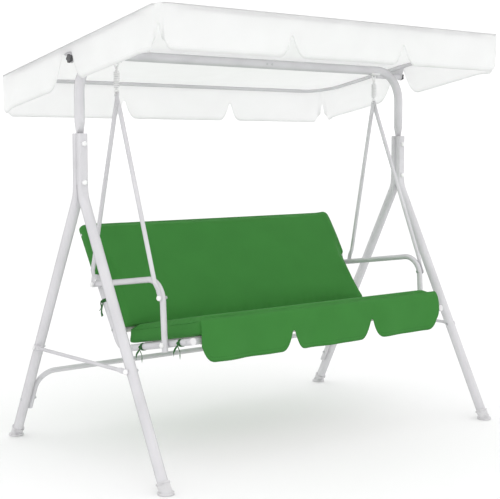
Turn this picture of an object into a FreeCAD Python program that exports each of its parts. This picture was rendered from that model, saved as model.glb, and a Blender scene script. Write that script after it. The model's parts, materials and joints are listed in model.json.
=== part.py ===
import FreeCAD, Part
import math
import os

# Garden swing bench with a tilting canopy. Units are millimetres, +Z is up, the sitter faces -Y,
# and the origin is on the ground, midway between the four feet.

V = FreeCAD.Vector
X_AXIS = V(1, 0, 0)
Y_AXIS = V(0, 1, 0)
Z_AXIS = V(0, 0, 1)
SIDES = {"left": -1, "right": 1}
ENDS = {"front": -1, "rear": 1}

# Fits and gaps
GAP = 0.3
HOLE_CLEARANCE = 0.25
SHOE_FIT = 0.1
FABRIC_GAP = 1.0
HEAD_GAP = 0.1
THREAD_END_GAP = 0.2
PLUG_FIT = 0.1
KNOB_GAP = 0.5

# A-frames
FRAME_HALF_WIDTH = 815.0
FOOT_HALF_SPREAD = 505.0
LEG_TOP_Z = 1178.0
LEG_BEND_Z = 962.0
LEG_BEND_R = 120.0
LEG_D = 38.0
LEG_WALL = 1.5
LEG_TOP_WIDTH = 36.0
LEG_TOP_DEPTH = 23.0
LEG_TOP_CORNER_R = 7.0
LEG_BOLT_TOP_DROP = 36.0
LEG_BOLT_PITCH = 136.0

# Shoes on the legs
SHOE_FLOOR = 6.0
SHOE_FLANGE_D = 57.0
SHOE_FLANGE_H = 8.0
SHOE_WALL = 3.0
SHOE_LENGTH = 40.0
SHOE_BEAD = 2.5

# Top beam, whose two halves bend down into the posts
BEAM_D = 36.0
BEAM_WALL = 1.5
BEAM_Z = 1457.0
BEAM_BEND_R = 130.0
POST_TONGUE_WIDTH = 30.0
POST_TONGUE_T = 6.0
POST_TONGUE_LENGTH = 180.0
POST_SWAGE_LENGTH = 40.0
SPIGOT_LENGTH = 85.0
BEAM_SCREW_X = (38.0, 64.0)

# Side braces and rear crossbar
BRACE_Z = 378.0
BRACE_D = 13.0
BRACE_TAB_WIDTH = 20.0
CROSSBAR_D = 20.0
CROSSBAR_Z = 268.0
CROSSBAR_END_Z = 118.0
CROSSBAR_BOLT_Z = 158.0
CROSSBAR_BEND_R = 72.0
SMALL_TUBE_WALL = 1.2
TAB_T = 3.0
TAB_LENGTH = 32.0
TAB_NECK = 24.0

# Suspension
HOOK_INSET = 156.0
EYE_Z = 1412.0
EYE_WIRE_D = 5.0
EYE_TOP_HALF_WIDTH = 11.0
EYE_FOOT_HALF_WIDTH = 4.0
EYE_FOOT_R = 3.5
SADDLE_T = 3.0
SADDLE_LENGTH = 50.0
SADDLE_SCREW_INSET = 6.0
APEX_Z = 1318.0
SPRING_WIRE_D = 4.0
SPRING_D = 23.0
SPRING_BODY_LENGTH = 46.0
SPRING_RING_R = 9.0

# Hanger rods
HANGER_D = 16.0
HANGER_TAB_WIDTH = 22.0

# Armrests: the tab at the rear, the corner of the bend, and the lower end, seen from the side
ARM_D = 22.0
ARM_TUBE_GAP = 1.5
ARM_REAR = (157.0, 618.0)
ARM_CORNER = (-272.0, 677.0)
ARM_FOOT = (-287.0, 424.0)
ARM_BEND_R = 75.0
ARM_HANGER_Z = 610.0
ARM_RAIL_BOLT_RISE = 22.0
ARM_REAR_OVERHANG = 15.0

# Seat and back frames: an L of tube on each side, and cross rails between them
SIDE_TUBE_D = 25.0
SIDE_TUBE_WALL = 1.5
KNEE = (26.0, 387.0)
KNEE_R = 60.0
SEAT_SLOPE = 11.0
BACK_RECLINE = 31.0
SEAT_RAIL_LENGTH = 450.0
BACK_RAIL_LENGTH = 497.0
SEAT_FRONT_RAIL_S = 428.0
SEAT_REAR_RAIL_S = 92.0
BACK_LOWER_RAIL_S = 78.0
BACK_TOP_RAIL_S = 476.0
RAIL_PLUG_LENGTH = 22.0
PLUG_STEM = 11.0
PLUG_HEAD_T = 2.5
SLING_T = 2.0
SLING_MARGIN = 36.5

# Cushions, skirt and ties
SEAT_PAD_MARGIN = 19.5
SEAT_PAD_T = 57.0
SEAT_PAD_FRONT_S = 467.5
SEAT_PAD_REAR_S = 4.0
BACK_PAD_INSET = 21.5
BACK_PAD_FRONT_N = 62.0
BACK_PAD_TOP_FRONT_N = 34.0
BACK_PAD_TOP_S = 513.0
SLEEVE_T = 3.0
SLEEVE_SIDE_ROOM = 7.0
SLEEVE_BOTTOM_S = 300.0
SKIRT_T = 3.0
SKIRT_DROP = 155.0
SKIRT_CORNER_R = 50.0
SKIRT_NOTCH_X = (-182.0, 228.0)
SKIRT_NOTCH_H = 80.0
SKIRT_NOTCH_HALF_WIDTH = 56.0
SKIRT_NOTCH_CROWN = 11.0
TIE_WIDTH = 14.0
TIE_T = 1.2
TIE_TAIL = 34.0
SEAT_TIE_S = (150.0, 384.0)
BACK_TIE_S = 196.0

# Canopy
CANOPY_PIVOT = (14.0, 1438.0)
CANOPY_SLOPE = 10.25
CANOPY_TUBE_D = 14.0
CANOPY_ARM_RISE = 40.0
CANOPY_FRONT_S = 540.0
CANOPY_REAR_S = 496.0
CANOPY_CORNER_R = 130.0
CANOPY_SLEEVE_T = 1.3
CANOPY_SLEEVE_HALF = 50.0
CANOPY_SLEEVE_S = 12.0
CANOPY_FABRIC_T = 2.0
VALANCE_DROP = 151.0
SIDE_VALANCE_DROP = 140.0
VALANCE_NOTCH_H = 74.0
VALANCE_NOTCH_HALF_WIDTH = 58.0
VALANCE_NOTCH_CROWN = 13.0
SIDE_NOTCH_H = 117.0
SIDE_NOTCH_Y = 28.0
SIDE_NOTCH_HALF_WIDTH = 82.0
SIDE_NOTCH_CROWN = 34.0
CORNER_SLIT_H = 80.0
CORNER_LOBE_R = 50.0
BRACKET_T = 2.5
BRACKET_WIDTH = 30.0
STUB_D = 24.0
STUB_REACH = 18.0
STUD_DEPTH = 30.0
RAIL_BUTT_GAP = 1.0
KNOB_D = 30.0
KNOB_H = 13.0
KNOB_LOBES = 5

# Fasteners
BOLT_D = 8.0
SMALL_BOLT_D = 6.0
SCREW_D = 5.0
SCREW_LENGTH = 8.0
HEAD_RATIO = 1.9
HEAD_H_RATIO = 0.5
NUT_RATIO = 1.65
NUT_H_RATIO = 0.8
CAP_D = 18.0
CAP_H = 9.0
CAP_T = 1.5
LEG_BOLT_HEAD_D = 14.0


# ---------------------------------------------------------------- shapes that repeat

def save(name, *shapes):
    """Writes one node, as one solid or as a group of separate solids."""
    solids = [solid for shape in shapes for solid in shape.Solids]
    shape = solids[0] if len(solids) == 1 else Part.makeCompound(solids)
    if not shape.isValid():
        print("not valid:", name)
    shape.exportStep(os.path.join("parts", name + ".step"))
    print(f"{name:30s} solids {len(solids):2d}  volume {shape.Volume / 1000:10.2f} cm3")


def unit(vector):
    return V(vector).normalize()


def side_point(x, yz):
    return V(x, yz[0], yz[1])


def cylinder(start, end, diameter):
    axis = end - start
    return Part.makeCylinder(diameter / 2, axis.Length, start, axis)


def frame_at(origin, along, across):
    """Placement with local Z along the first direction and local X close to the second."""
    z = unit(along)
    y = unit(z.cross(across))
    x = y.cross(z)
    rotation = FreeCAD.Rotation(x, y, z, "ZXY")
    return FreeCAD.Placement(origin, rotation)


def rounded_path(points, radius):
    """Straight runs through the points, joined by tangent arcs of one radius."""
    edges = []
    start = points[0]
    for before, corner, after in zip(points, points[1:], points[2:]):
        into = unit(before - corner)
        out = unit(after - corner)
        half_turn = (math.pi - into.getAngle(out)) / 2
        reach = radius * math.tan(half_turn)
        first = corner + into * reach
        last = corner + out * reach
        centre = corner + unit(into + out) * (radius / math.cos(half_turn))
        middle = centre + unit(corner - centre) * radius
        edges.append(Part.LineSegment(start, first).toShape())
        edges.append(Part.Arc(first, middle, last).toShape())
        start = last
    edges.append(Part.LineSegment(start, points[-1]).toShape())
    return Part.Wire(edges)


def swept(path, diameter):
    """Solid bar of round section along a wire that starts with a straight run."""
    start = path.OrderedVertexes[0].Point
    along = path.OrderedEdges[0].tangentAt(path.OrderedEdges[0].FirstParameter)
    if (path.OrderedEdges[0].valueAt(path.OrderedEdges[0].FirstParameter) - start).Length > 1e-6:
        along = along * -1
    ring = Part.Wire(Part.makeCircle(diameter / 2, start, along))
    return path.makePipeShell([ring], True, False)


def bent_tube(points, radius, diameter, wall):
    """Round tube through the points, open at both ends."""
    outer = swept(rounded_path(points, radius), diameter)
    longer = list(points)
    longer[0] = points[0] + unit(points[0] - points[1])
    longer[-1] = points[-1] + unit(points[-1] - points[-2])
    inner = swept(rounded_path(longer, radius), diameter - 2 * wall)
    return outer.cut(inner)


def straight_tube(start, end, diameter, wall):
    along = unit(end - start)
    return cylinder(start, end, diameter).cut(cylinder(start - along, end + along, diameter - 2 * wall))


def eight_edge_section(width, depth, corner_r, place):
    """Rounded rectangle as four sides and four corner arcs, so that sections loft edge to edge."""
    flat_x = width / 2 - corner_r
    flat_y = depth / 2 - corner_r
    turn = corner_r * math.sqrt(0.5)
    edges = []
    corners = ((1, -1), (1, 1), (-1, 1), (-1, -1))
    for index, (sx, sy) in enumerate(corners):
        centre = V(sx * flat_x, sy * flat_y, 0)
        side = V(sx * corner_r, 0, 0)
        top = V(0, sy * corner_r, 0)
        first, last = (top, side) if sx * sy < 0 else (side, top)
        arc_start = centre + first
        arc_end = centre + last
        middle = centre + V(sx * turn, sy * turn, 0)
        edges.append(Part.Arc(arc_start, middle, arc_end).toShape())
        next_x, next_y = corners[(index + 1) % 4]
        next_centre = V(next_x * flat_x, next_y * flat_y, 0)
        next_first = V(next_x * corner_r, 0, 0) if next_x * next_y > 0 else V(0, next_y * corner_r, 0)
        edges.append(Part.LineSegment(arc_end, next_centre + next_first).toShape())
    wire = Part.Wire(edges)
    wire.Placement = place
    return wire


def circle_in_eight(diameter, place, side_angle=12.0):
    """Circle as four short side arcs and four long corner arcs, to match a rounded rectangle."""
    r = diameter / 2

    def at(degrees):
        angle = math.radians(degrees)
        return V(r * math.cos(angle), r * math.sin(angle), 0)

    edges = []
    for quarter in (-90, 0, 90, 180):
        edges.append(Part.Arc(at(quarter + side_angle), at(quarter + 45),
                              at(quarter + 90 - side_angle)).toShape())
        edges.append(Part.Arc(at(quarter + 90 - side_angle), at(quarter + 90),
                              at(quarter + 90 + side_angle)).toShape())
    wire = Part.Wire(edges)
    wire.Placement = place
    return wire


def pressed_end_loft(width, depth, corner_r, flat_place, diameter, round_place):
    """Piece of tube between a pressed, nearly flat section and its full round."""
    flat = eight_edge_section(width, depth, corner_r, flat_place)
    full = circle_in_eight(diameter, round_place)
    return Part.makeLoft([flat, full], True, True)


def flat_ended_tube(first, last, normal, diameter, tab_width, hole_d, first_offset=0.0):
    """Tube whose two ends are pressed to flat tabs, each with a hole; first and last are the hole centres.
    The first offset sets the tube beside its first tab, along the normal.
    A drain hole opens the tube's inside."""
    flatwise = unit((last - first) - normal * (last - first).dot(normal))
    across = unit(normal.cross(flatwise))
    tab_a = first + flatwise * TAB_LENGTH
    tab_b = last - flatwise * TAB_LENGTH
    round_a = tab_a + flatwise * TAB_NECK + normal * first_offset
    round_b = tab_b - flatwise * TAB_NECK
    along = unit(round_b - round_a)
    body = cylinder(round_a, round_b, diameter)
    corner = TAB_T * 0.45
    ends = ((first, tab_a, round_a, flatwise * -1, along * -1), (last, tab_b, round_b, flatwise, along))
    for hole, tab, whole, outward, round_outward in ends:
        disc = Part.makeCylinder(tab_width / 2, TAB_T, hole - normal * (TAB_T / 2), normal)
        plate = eight_edge_section(tab_width, TAB_T, corner, frame_at(tab, outward, across))
        plate = Part.Face(plate).extrude(hole - tab)
        neck = pressed_end_loft(tab_width, TAB_T, corner, frame_at(tab, outward, across),
                                diameter, frame_at(whole, round_outward, across))
        body = body.fuse([disc, plate, neck])
    bore = cylinder(round_a, round_b, diameter - 2 * SMALL_TUBE_WALL)
    low = round_a if round_a.z < round_b.z else round_b
    into = along if round_a.z < round_b.z else along * -1
    drain_at = low + into * 12
    drain = Part.makeCylinder(2.0, diameter, drain_at, normal)
    holes = [Part.makeCylinder(hole_d / 2 + HOLE_CLEARANCE, 4 * TAB_T, p - normal * (2 * TAB_T), normal)
             for p in (first, last)]
    return body.removeSplitter().cut([bore, drain] + holes)


def bolt(seat, along, length, diameter, head_d=None):
    """Domed head outside the seat point, shank running along."""
    along = unit(along)
    head_d = head_d or diameter * HEAD_RATIO
    head_h = diameter * HEAD_H_RATIO
    shank = Part.makeCylinder(diameter / 2, length, seat, along)
    disc = Part.makeCylinder(head_d / 2, head_h * 0.4, seat - along * (head_h * 0.4), along)
    dome = Part.makeCone(head_d / 2 * 0.55, head_d / 2, head_h * 0.6, seat - along * head_h, along)
    return shank.fuse([disc, dome]).removeSplitter()


def nut(seat, along, diameter):
    """Hexagon nut whose near face is on the seat point, with its hole cleared for the shank."""
    along = unit(along)
    across = diameter * NUT_RATIO
    height = diameter * NUT_H_RATIO
    place = frame_at(seat, along, Z_AXIS if abs(along.z) < 0.9 else X_AXIS)
    corners = [V(across / math.sqrt(3) * math.cos(math.radians(a)),
                 across / math.sqrt(3) * math.sin(math.radians(a)), 0) for a in range(0, 361, 60)]
    hexagon = Part.Wire(Part.makePolygon(corners))
    body = Part.Face(hexagon).extrude(V(0, 0, height))
    body.Placement = place
    return body.cut(Part.makeCylinder(diameter / 2 + HEAD_GAP, height * 3, seat - along * height, along))


def cap(seat, outward):
    """Round push-on cover over a bolt head: a hollow dome open towards the seat."""
    outward = unit(outward)
    inner_h = CAP_H - CAP_T
    inner = Part.makeCylinder(CAP_D / 2 - CAP_T, inner_h - CAP_T, seat, outward)
    skirt = Part.makeCylinder(CAP_D / 2, inner_h - CAP_T, seat, outward)
    dome = Part.makeCone(CAP_D / 2, CAP_D * 0.3, 2 * CAP_T, seat + outward * (inner_h - CAP_T), outward)
    return skirt.fuse(dome).removeSplitter().cut(inner)


def drill(shape, *axes):
    """Cuts clearance holes; each axis is (point, direction, length, diameter)."""
    tools = [Part.makeCylinder(d / 2 + HOLE_CLEARANCE, length, point, unit(along))
             for point, along, length, d in axes]
    return shape.cut(tools)


# ---------------------------------------------------------------- A-frames

HOOK_X = FRAME_HALF_WIDTH - HOOK_INSET
ARM_X = HOOK_X
SIDE_TUBE_X = ARM_X - (ARM_D + SIDE_TUBE_D) / 2 - ARM_TUBE_GAP
SIDE_TUBE_INNER_X = SIDE_TUBE_X - SIDE_TUBE_D / 2
SLING_HALF_WIDTH = SIDE_TUBE_INNER_X - SLING_MARGIN
SEAT_PAD_HALF_WIDTH = SIDE_TUBE_INNER_X - SEAT_PAD_MARGIN
SLEEVE_HALF_WIDTH = SIDE_TUBE_X + SIDE_TUBE_D / 2 + SLEEVE_SIDE_ROOM
BACK_PAD_HALF_WIDTH = SLEEVE_HALF_WIDTH - BACK_PAD_INSET
LEG_AXIS_TOP_Y = POST_TONGUE_T / 2 + LEG_TOP_DEPTH / 2
LEG_RUN = FOOT_HALF_SPREAD - LEG_AXIS_TOP_Y
LEG_TILT = math.degrees(math.atan2(LEG_RUN, LEG_BEND_Z))


def leg_y(z):
    """Distance of a leg's axis from the middle, at a height below the bend."""
    return FOOT_HALF_SPREAD - LEG_RUN * z / LEG_BEND_Z


def leg_bolt_heights():
    top = LEG_TOP_Z - LEG_BOLT_TOP_DROP
    return (top, top - LEG_BOLT_PITCH)


def leg_outline(x, end, inset):
    """Leg's outside, or its inside when inset by the wall: pressed top, bend, and round lower run."""
    stretch = 1.0 if inset else 0.0
    width = LEG_TOP_WIDTH - 2 * inset
    depth = LEG_TOP_DEPTH - 2 * inset
    corner = LEG_TOP_CORNER_R - inset
    diameter = LEG_D - 2 * inset
    tilt = math.radians(LEG_TILT)
    reach = LEG_BEND_R * math.tan(tilt / 2)
    top = V(x, end * LEG_AXIS_TOP_Y, LEG_TOP_Z + stretch)
    upper = V(x, end * LEG_AXIS_TOP_Y, LEG_BEND_Z + reach)
    down = V(0, end * math.sin(tilt), -math.cos(tilt))
    bend = V(x, end * LEG_AXIS_TOP_Y, LEG_BEND_Z)
    lower = bend + down * (reach + 20)
    ground = bend + down * (LEG_BEND_Z / math.cos(tilt) + 30)
    prism = Part.Face(eight_edge_section(width, depth, corner, frame_at(upper, Z_AXIS, X_AXIS)))
    prism = prism.extrude(top - upper)
    sections = [eight_edge_section(width, depth, corner, frame_at(upper, Z_AXIS, X_AXIS))]
    centre = upper + V(0, end * LEG_BEND_R, 0)
    steps = 3
    for step in range(1, steps + 1):
        share = step / (steps + 1)
        turn = tilt * step / steps
        at = centre + V(0, -end * LEG_BEND_R * math.cos(turn), -LEG_BEND_R * math.sin(turn))
        upward = V(0, -end * math.sin(turn), math.cos(turn))
        wide = width + (diameter - width) * share
        deep = depth + (diameter - depth) * share
        radius = corner + (diameter / 2 - 1 - corner) * share
        sections.append(eight_edge_section(wide, deep, radius, frame_at(at, upward, X_AXIS)))
    sections.append(circle_in_eight(diameter, frame_at(lower, down * -1, X_AXIS)))
    bend_piece = Part.makeLoft(sections, True, True)
    run = cylinder(ground, lower, diameter)
    return prism.fuse([bend_piece, run])


def make_leg(x, end):
    body = leg_outline(x, end, 0).cut(leg_outline(x, end, LEG_WALL))
    big = 4 * SHOE_FLANGE_D
    foot = V(x - big / 2, end * FOOT_HALF_SPREAD - big / 2, -big + SHOE_FLOOR)
    body = body.cut(Part.makeBox(big, big, big, foot))
    bolts = [(V(x, -2 * LEG_D, z), Y_AXIS, 4 * LEG_D, BOLT_D) for z in leg_bolt_heights()]
    outward = 1 if x > 0 else -1
    brace = (V(x - outward * LEG_D, end * leg_y(BRACE_Z), BRACE_Z), V(outward, 0, 0), 2 * LEG_D,
             SMALL_BOLT_D)
    body = drill(body, brace, *bolts)
    if end > 0:
        point = V(x - outward * LEG_D, leg_y(CROSSBAR_BOLT_Z), CROSSBAR_BOLT_Z)
        body = drill(body, (point, V(outward, 0, 0), 2 * LEG_D, SMALL_BOLT_D))
    return body


def make_shoe(x, end):
    """Plastic shoe: flat flange on the ground, leaning ankle, beaded collar, and a socket for the leg."""
    tilt = math.radians(LEG_TILT)
    up = V(0, -end * math.sin(tilt), math.cos(tilt))
    foot = V(x, end * FOOT_HALF_SPREAD, 0)
    top = foot + up * SHOE_LENGTH
    collar_d = LEG_D + 2 * SHOE_WALL
    flange = Part.makeCylinder(SHOE_FLANGE_D / 2, SHOE_FLANGE_H, foot)
    upper_rim = [edge for edge in flange.Edges if abs(edge.CenterOfMass.z - SHOE_FLANGE_H) < 0.01]
    flange = flange.makeFillet(SHOE_BEAD, upper_rim)
    ankle_foot = Part.makeCircle(SHOE_FLANGE_D / 2 - 2 * SHOE_BEAD, foot + V(0, 0, SHOE_FLANGE_H - 2))
    ankle_top = Part.makeCircle(collar_d / 2, top - up * SHOE_BEAD, up)
    ankle = Part.makeLoft([Part.Wire(ankle_foot), Part.Wire(ankle_top)], True, True)
    bead = cylinder(top - up * (3 * SHOE_BEAD), top, collar_d + 2 * SHOE_BEAD)
    rims = [edge for edge in bead.Edges if edge.Curve.TypeId == "Part::GeomCircle"]
    body = flange.fuse(ankle).fuse(bead.makeFillet(SHOE_BEAD - 0.1, rims))
    socket = cylinder(foot - up * SHOE_LENGTH, top + up * SHOE_LENGTH, LEG_D + 2 * SHOE_FIT)
    floor = Part.makeBox(4 * LEG_D, 4 * LEG_D, 4 * SHOE_LENGTH, foot + V(-2 * LEG_D, -2 * LEG_D,
                                                                         SHOE_FLOOR))
    return body.cut(socket.common(floor))


# ---------------------------------------------------------------- top beam and posts

STUB_END_X = FRAME_HALF_WIDTH + STUB_REACH


def make_beam_half(side):
    """One half of the top beam, bent down into its post, whose swaged tongue goes between the leg tops."""
    x = side * FRAME_HALF_WIDTH
    tongue_top = V(x, 0, LEG_TOP_Z)
    post_end = V(x, 0, LEG_TOP_Z + POST_SWAGE_LENGTH)
    inner_d = BEAM_D - 2 * BEAM_WALL
    points = [V(0, 0, BEAM_Z), V(x, 0, BEAM_Z), post_end]
    outer = swept(rounded_path(points, BEAM_BEND_R), BEAM_D)
    inner = swept(rounded_path([V(-side, 0, BEAM_Z)] + points[1:], BEAM_BEND_R), inner_d)
    corner = POST_TONGUE_T * 0.45
    flat = frame_at(tongue_top, Z_AXIS, X_AXIS)
    swage = pressed_end_loft(POST_TONGUE_WIDTH, POST_TONGUE_T, corner, flat, BEAM_D,
                             frame_at(post_end, Z_AXIS, X_AXIS))
    tongue = Part.Face(eight_edge_section(POST_TONGUE_WIDTH, POST_TONGUE_T, corner, flat))
    tongue = tongue.extrude(V(0, 0, -POST_TONGUE_LENGTH))
    body = outer.fuse([swage, tongue]).cut(inner)
    bolts = [(V(x, -2 * POST_TONGUE_T, z), Y_AXIS, 4 * POST_TONGUE_T, BOLT_D) for z in leg_bolt_heights()]
    bend_x = x - side * BEAM_BEND_R
    stub = cylinder(side_point(bend_x, CANOPY_PIVOT), side_point(side * STUB_END_X, CANOPY_PIVOT), STUB_D)
    body = body.fuse(stub.cut(inner))
    stud_hole = (side_point(side * (STUB_END_X - STUD_DEPTH), CANOPY_PIVOT), V(side, 0, 0),
                 2 * STUD_DEPTH, BOLT_D)
    body = drill(body, stud_hole, *bolts)
    if side < 0:
        spigot_d = inner_d - 0.1
        spigot = straight_tube(V(-20, 0, BEAM_Z), V(SPIGOT_LENGTH, 0, BEAM_Z), spigot_d, BEAM_WALL)
        root = straight_tube(V(-20, 0, BEAM_Z), V(0, 0, BEAM_Z), BEAM_D - BEAM_WALL, BEAM_WALL)
        body = body.fuse([spigot, root]).removeSplitter()
    joint_screws = [(V(sx, 0, BEAM_Z), -Y_AXIS, BEAM_D, SCREW_D) for sx in BEAM_SCREW_X]
    return drill(body, *(joint_screws + saddle_screw_holes(side)))


# ---------------------------------------------------------------- braces, crossbar and their bolts

def brace_x(side):
    return side * (FRAME_HALF_WIDTH + LEG_D / 2 + GAP + TAB_T / 2)


def make_brace(side):
    reach = leg_y(BRACE_Z)
    front = V(brace_x(side), -reach, BRACE_Z)
    rear = V(brace_x(side), reach, BRACE_Z)
    return flat_ended_tube(front, rear, X_AXIS, BRACE_D, BRACE_TAB_WIDTH, SMALL_BOLT_D)


CROSSBAR_X = FRAME_HALF_WIDTH - LEG_D / 2 - GAP - CROSSBAR_D / 2


def make_crossbar():
    low = V(CROSSBAR_X, leg_y(CROSSBAR_END_Z), CROSSBAR_END_Z)
    high = V(CROSSBAR_X, leg_y(CROSSBAR_Z), CROSSBAR_Z)
    mirror = [V(-p.x, p.y, p.z) for p in (high, low)]
    body = bent_tube([low, high] + mirror, CROSSBAR_BEND_R, CROSSBAR_D, SMALL_TUBE_WALL)
    bolts = [(V(side * (CROSSBAR_X - CROSSBAR_D), leg_y(CROSSBAR_BOLT_Z), CROSSBAR_BOLT_Z),
              V(side, 0, 0), 2 * CROSSBAR_D, SMALL_BOLT_D) for side in SIDES.values()]
    return drill(body, *bolts)


# ---------------------------------------------------------------- suspension

def saddle_screw_holes(side):
    inset = SADDLE_LENGTH / 2 - SADDLE_SCREW_INSET
    return [(V(side * HOOK_X + along * inset, 0, BEAM_Z - BEAM_D), Z_AXIS, BEAM_D, SCREW_D)
            for along in (-1, 1)]


def make_hook_eye(side):
    """V-shaped wire eye on a saddle under the beam."""
    x = side * HOOK_X
    beam_r = BEAM_D / 2
    top_z = BEAM_Z - beam_r - SADDLE_T / 2
    wire_points = [V(x - EYE_TOP_HALF_WIDTH, 0, top_z), V(x - EYE_FOOT_HALF_WIDTH, 0, EYE_Z),
                   V(x + EYE_FOOT_HALF_WIDTH, 0, EYE_Z), V(x + EYE_TOP_HALF_WIDTH, 0, top_z)]
    wire = swept(rounded_path(wire_points, EYE_FOOT_R), EYE_WIRE_D)
    start = V(x - SADDLE_LENGTH / 2, 0, BEAM_Z)
    finish = V(x + SADDLE_LENGTH / 2, 0, BEAM_Z)
    shell = cylinder(start, finish, BEAM_D + 2 * GAP + 2 * SADDLE_T)
    lower_half = Part.makeBox(SADDLE_LENGTH, BEAM_D * 0.78, BEAM_D,
                              V(x - SADDLE_LENGTH / 2, -BEAM_D * 0.39, BEAM_Z - BEAM_D))
    hollow = cylinder(start - X_AXIS, finish + X_AXIS, BEAM_D + 2 * GAP)
    body = shell.common(lower_half).fuse(wire).cut(hollow)
    return drill(body, *saddle_screw_holes(side)).removeSplitter()


def make_spring(side):
    """Suspension spring as its outer form, with a hook over the eye and a ring through the hanger tabs."""
    x = side * HOOK_X
    wire_r = SPRING_WIRE_D / 2
    hook_r = EYE_WIRE_D / 2 + GAP + wire_r
    ring_centre = V(x, 0, APEX_Z + SPRING_RING_R)
    ring = Part.makeTorus(SPRING_RING_R, wire_r, ring_centre, Y_AXIS)
    hook_centre = V(x, 0, EYE_Z)
    hook = Part.makeTorus(hook_r, wire_r, hook_centre, X_AXIS)
    mouth = Part.makeBox(3 * wire_r, 3 * hook_r, 2 * hook_r,
                         V(x - 1.5 * wire_r, wire_r * 0.6, EYE_Z - 2 * hook_r - 0.5))
    low = APEX_Z + 2 * SPRING_RING_R - wire_r
    high = EYE_Z - hook_r + wire_r * 0.4
    middle = (low + high) / 2
    r = SPRING_D / 2
    half = SPRING_BODY_LENGTH / 2
    profile = [(0, low), (wire_r * 1.2, low), (r, middle - half), (r, middle + half), (wire_r * 0.95,
                                                                                       high), (0, high)]
    outline = Part.makePolygon([V(x + px, 0, pz) for px, pz in profile] + [V(x, 0, low)])
    coils = Part.Face(Part.Wire(outline)).revolve(V(x, 0, 0), Z_AXIS, 360)
    return coils.fuse([ring, hook.cut(mouth)])


HANGER_TAB_X = ARM_X + ARM_D / 2 + GAP + TAB_T / 2


def arm_leg_y(z):
    """Armrest's front upright, seen from the side."""
    share = (ARM_CORNER[1] - z) / (ARM_CORNER[1] - ARM_FOOT[1])
    return ARM_CORNER[0] + (ARM_FOOT[0] - ARM_CORNER[0]) * share


HANGER_FEET = {"front": (arm_leg_y(ARM_HANGER_Z), ARM_HANGER_Z), "rear": ARM_REAR}


def make_hanger(side, end):
    """Hanger rod: its upper tab hangs on the spring's ring, and its lower tab is bolted outside the armrest."""
    beside_other = (TAB_T / 2 + GAP / 2) * (1 if end == "front" else -1)
    top = V(side * (HOOK_X + beside_other), 0, APEX_Z)
    foot = side_point(side * HANGER_TAB_X, HANGER_FEET[end])
    outward = side * (HANGER_D - TAB_T) / 2
    body = flat_ended_tube(foot, top, X_AXIS, HANGER_D, HANGER_TAB_WIDTH, SMALL_BOLT_D, outward)
    ring_hole = (top - X_AXIS * (2 * TAB_T), X_AXIS, 4 * TAB_T, SPRING_WIRE_D + 3)
    return drill(body, ring_hole)


# ---------------------------------------------------------------- seat frame

def seat_yz(s, n):
    """Point s forward of the knee along the seat rail and n above it, in the side view."""
    a = math.radians(SEAT_SLOPE)
    return (KNEE[0] - s * math.cos(a) + n * math.sin(a), KNEE[1] + s * math.sin(a) + n * math.cos(a))


def back_yz(s, n):
    """Point s up the back rail from the knee and n in front of it, in the side view."""
    a = math.radians(BACK_RECLINE)
    return (KNEE[0] + s * math.sin(a) - n * math.cos(a), KNEE[1] + s * math.cos(a) + n * math.sin(a))


RAILS = {
    "seat_front_rail": seat_yz(SEAT_FRONT_RAIL_S, 0),
    "seat_rear_rail": seat_yz(SEAT_REAR_RAIL_S, 0),
    "back_lower_rail": back_yz(BACK_LOWER_RAIL_S, 0),
    "back_top_rail": back_yz(BACK_TOP_RAIL_S, 0),
}
RAIL_END_X = SIDE_TUBE_INNER_X - GAP


def armrest_rail_bolt():
    """Where the armrest's foot is bolted to the seat rail, in the side view."""
    z = ARM_FOOT[1] + ARM_RAIL_BOLT_RISE
    return (arm_leg_y(z), z)


def make_side_frame(side):
    x = side * SIDE_TUBE_X
    points = [side_point(x, seat_yz(SEAT_RAIL_LENGTH, 0)), side_point(x, KNEE),
              side_point(x, back_yz(BACK_RAIL_LENGTH, 0))]
    body = bent_tube(points, KNEE_R, SIDE_TUBE_D, SIDE_TUBE_WALL)
    across = [(side_point(x - side * SIDE_TUBE_D, yz), V(side, 0, 0), 2 * SIDE_TUBE_D, SMALL_BOLT_D)
              for yz in list(RAILS.values()) + [ARM_REAR, armrest_rail_bolt()]]
    return drill(body, *across)


def make_rail(yz):
    return straight_tube(side_point(-RAIL_END_X, yz), side_point(RAIL_END_X, yz), SIDE_TUBE_D,
                         SIDE_TUBE_WALL)


def rail_plugs():
    plugs = []
    for yz in RAILS.values():
        for side in SIDES.values():
            outer = side_point(side * RAIL_END_X, yz)
            inner = side_point(side * (RAIL_END_X - RAIL_PLUG_LENGTH), yz)
            plug = cylinder(inner, outer, SIDE_TUBE_D - 2 * SIDE_TUBE_WALL - PLUG_FIT)
            plugs.append(drill(plug, (inner, V(side, 0, 0), RAIL_PLUG_LENGTH * 2, SMALL_BOLT_D)))
    return plugs


def rail_bolts():
    length = SIDE_TUBE_D + 2 * GAP + RAIL_PLUG_LENGTH
    return [bolt(side_point(side * (SIDE_TUBE_X + SIDE_TUBE_D / 2 + HEAD_GAP), yz), V(-side, 0, 0), length,
                 SMALL_BOLT_D,
                 head_d=SMALL_BOLT_D * 1.6)
            for yz in RAILS.values() for side in SIDES.values()]


def arm_points(side):
    """Armrest's rear end, corner and foot."""
    rear = side_point(side * ARM_X, ARM_REAR)
    corner = side_point(side * ARM_X, ARM_CORNER)
    return [rear + unit(rear - corner) * ARM_REAR_OVERHANG, corner, side_point(side * ARM_X, ARM_FOOT)]


def make_armrest(side):
    """Armrest tube: run forward from the back upright, bend, and front upright down past the seat rail."""
    body = bent_tube(arm_points(side), ARM_BEND_R, ARM_D, SIDE_TUBE_WALL)
    holes = [(side_point(side * (ARM_X - ARM_D), yz), V(side, 0, 0), 2 * ARM_D, SMALL_BOLT_D)
             for yz in (ARM_REAR, HANGER_FEET["front"], armrest_rail_bolt())]
    return drill(body, *holes)


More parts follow.
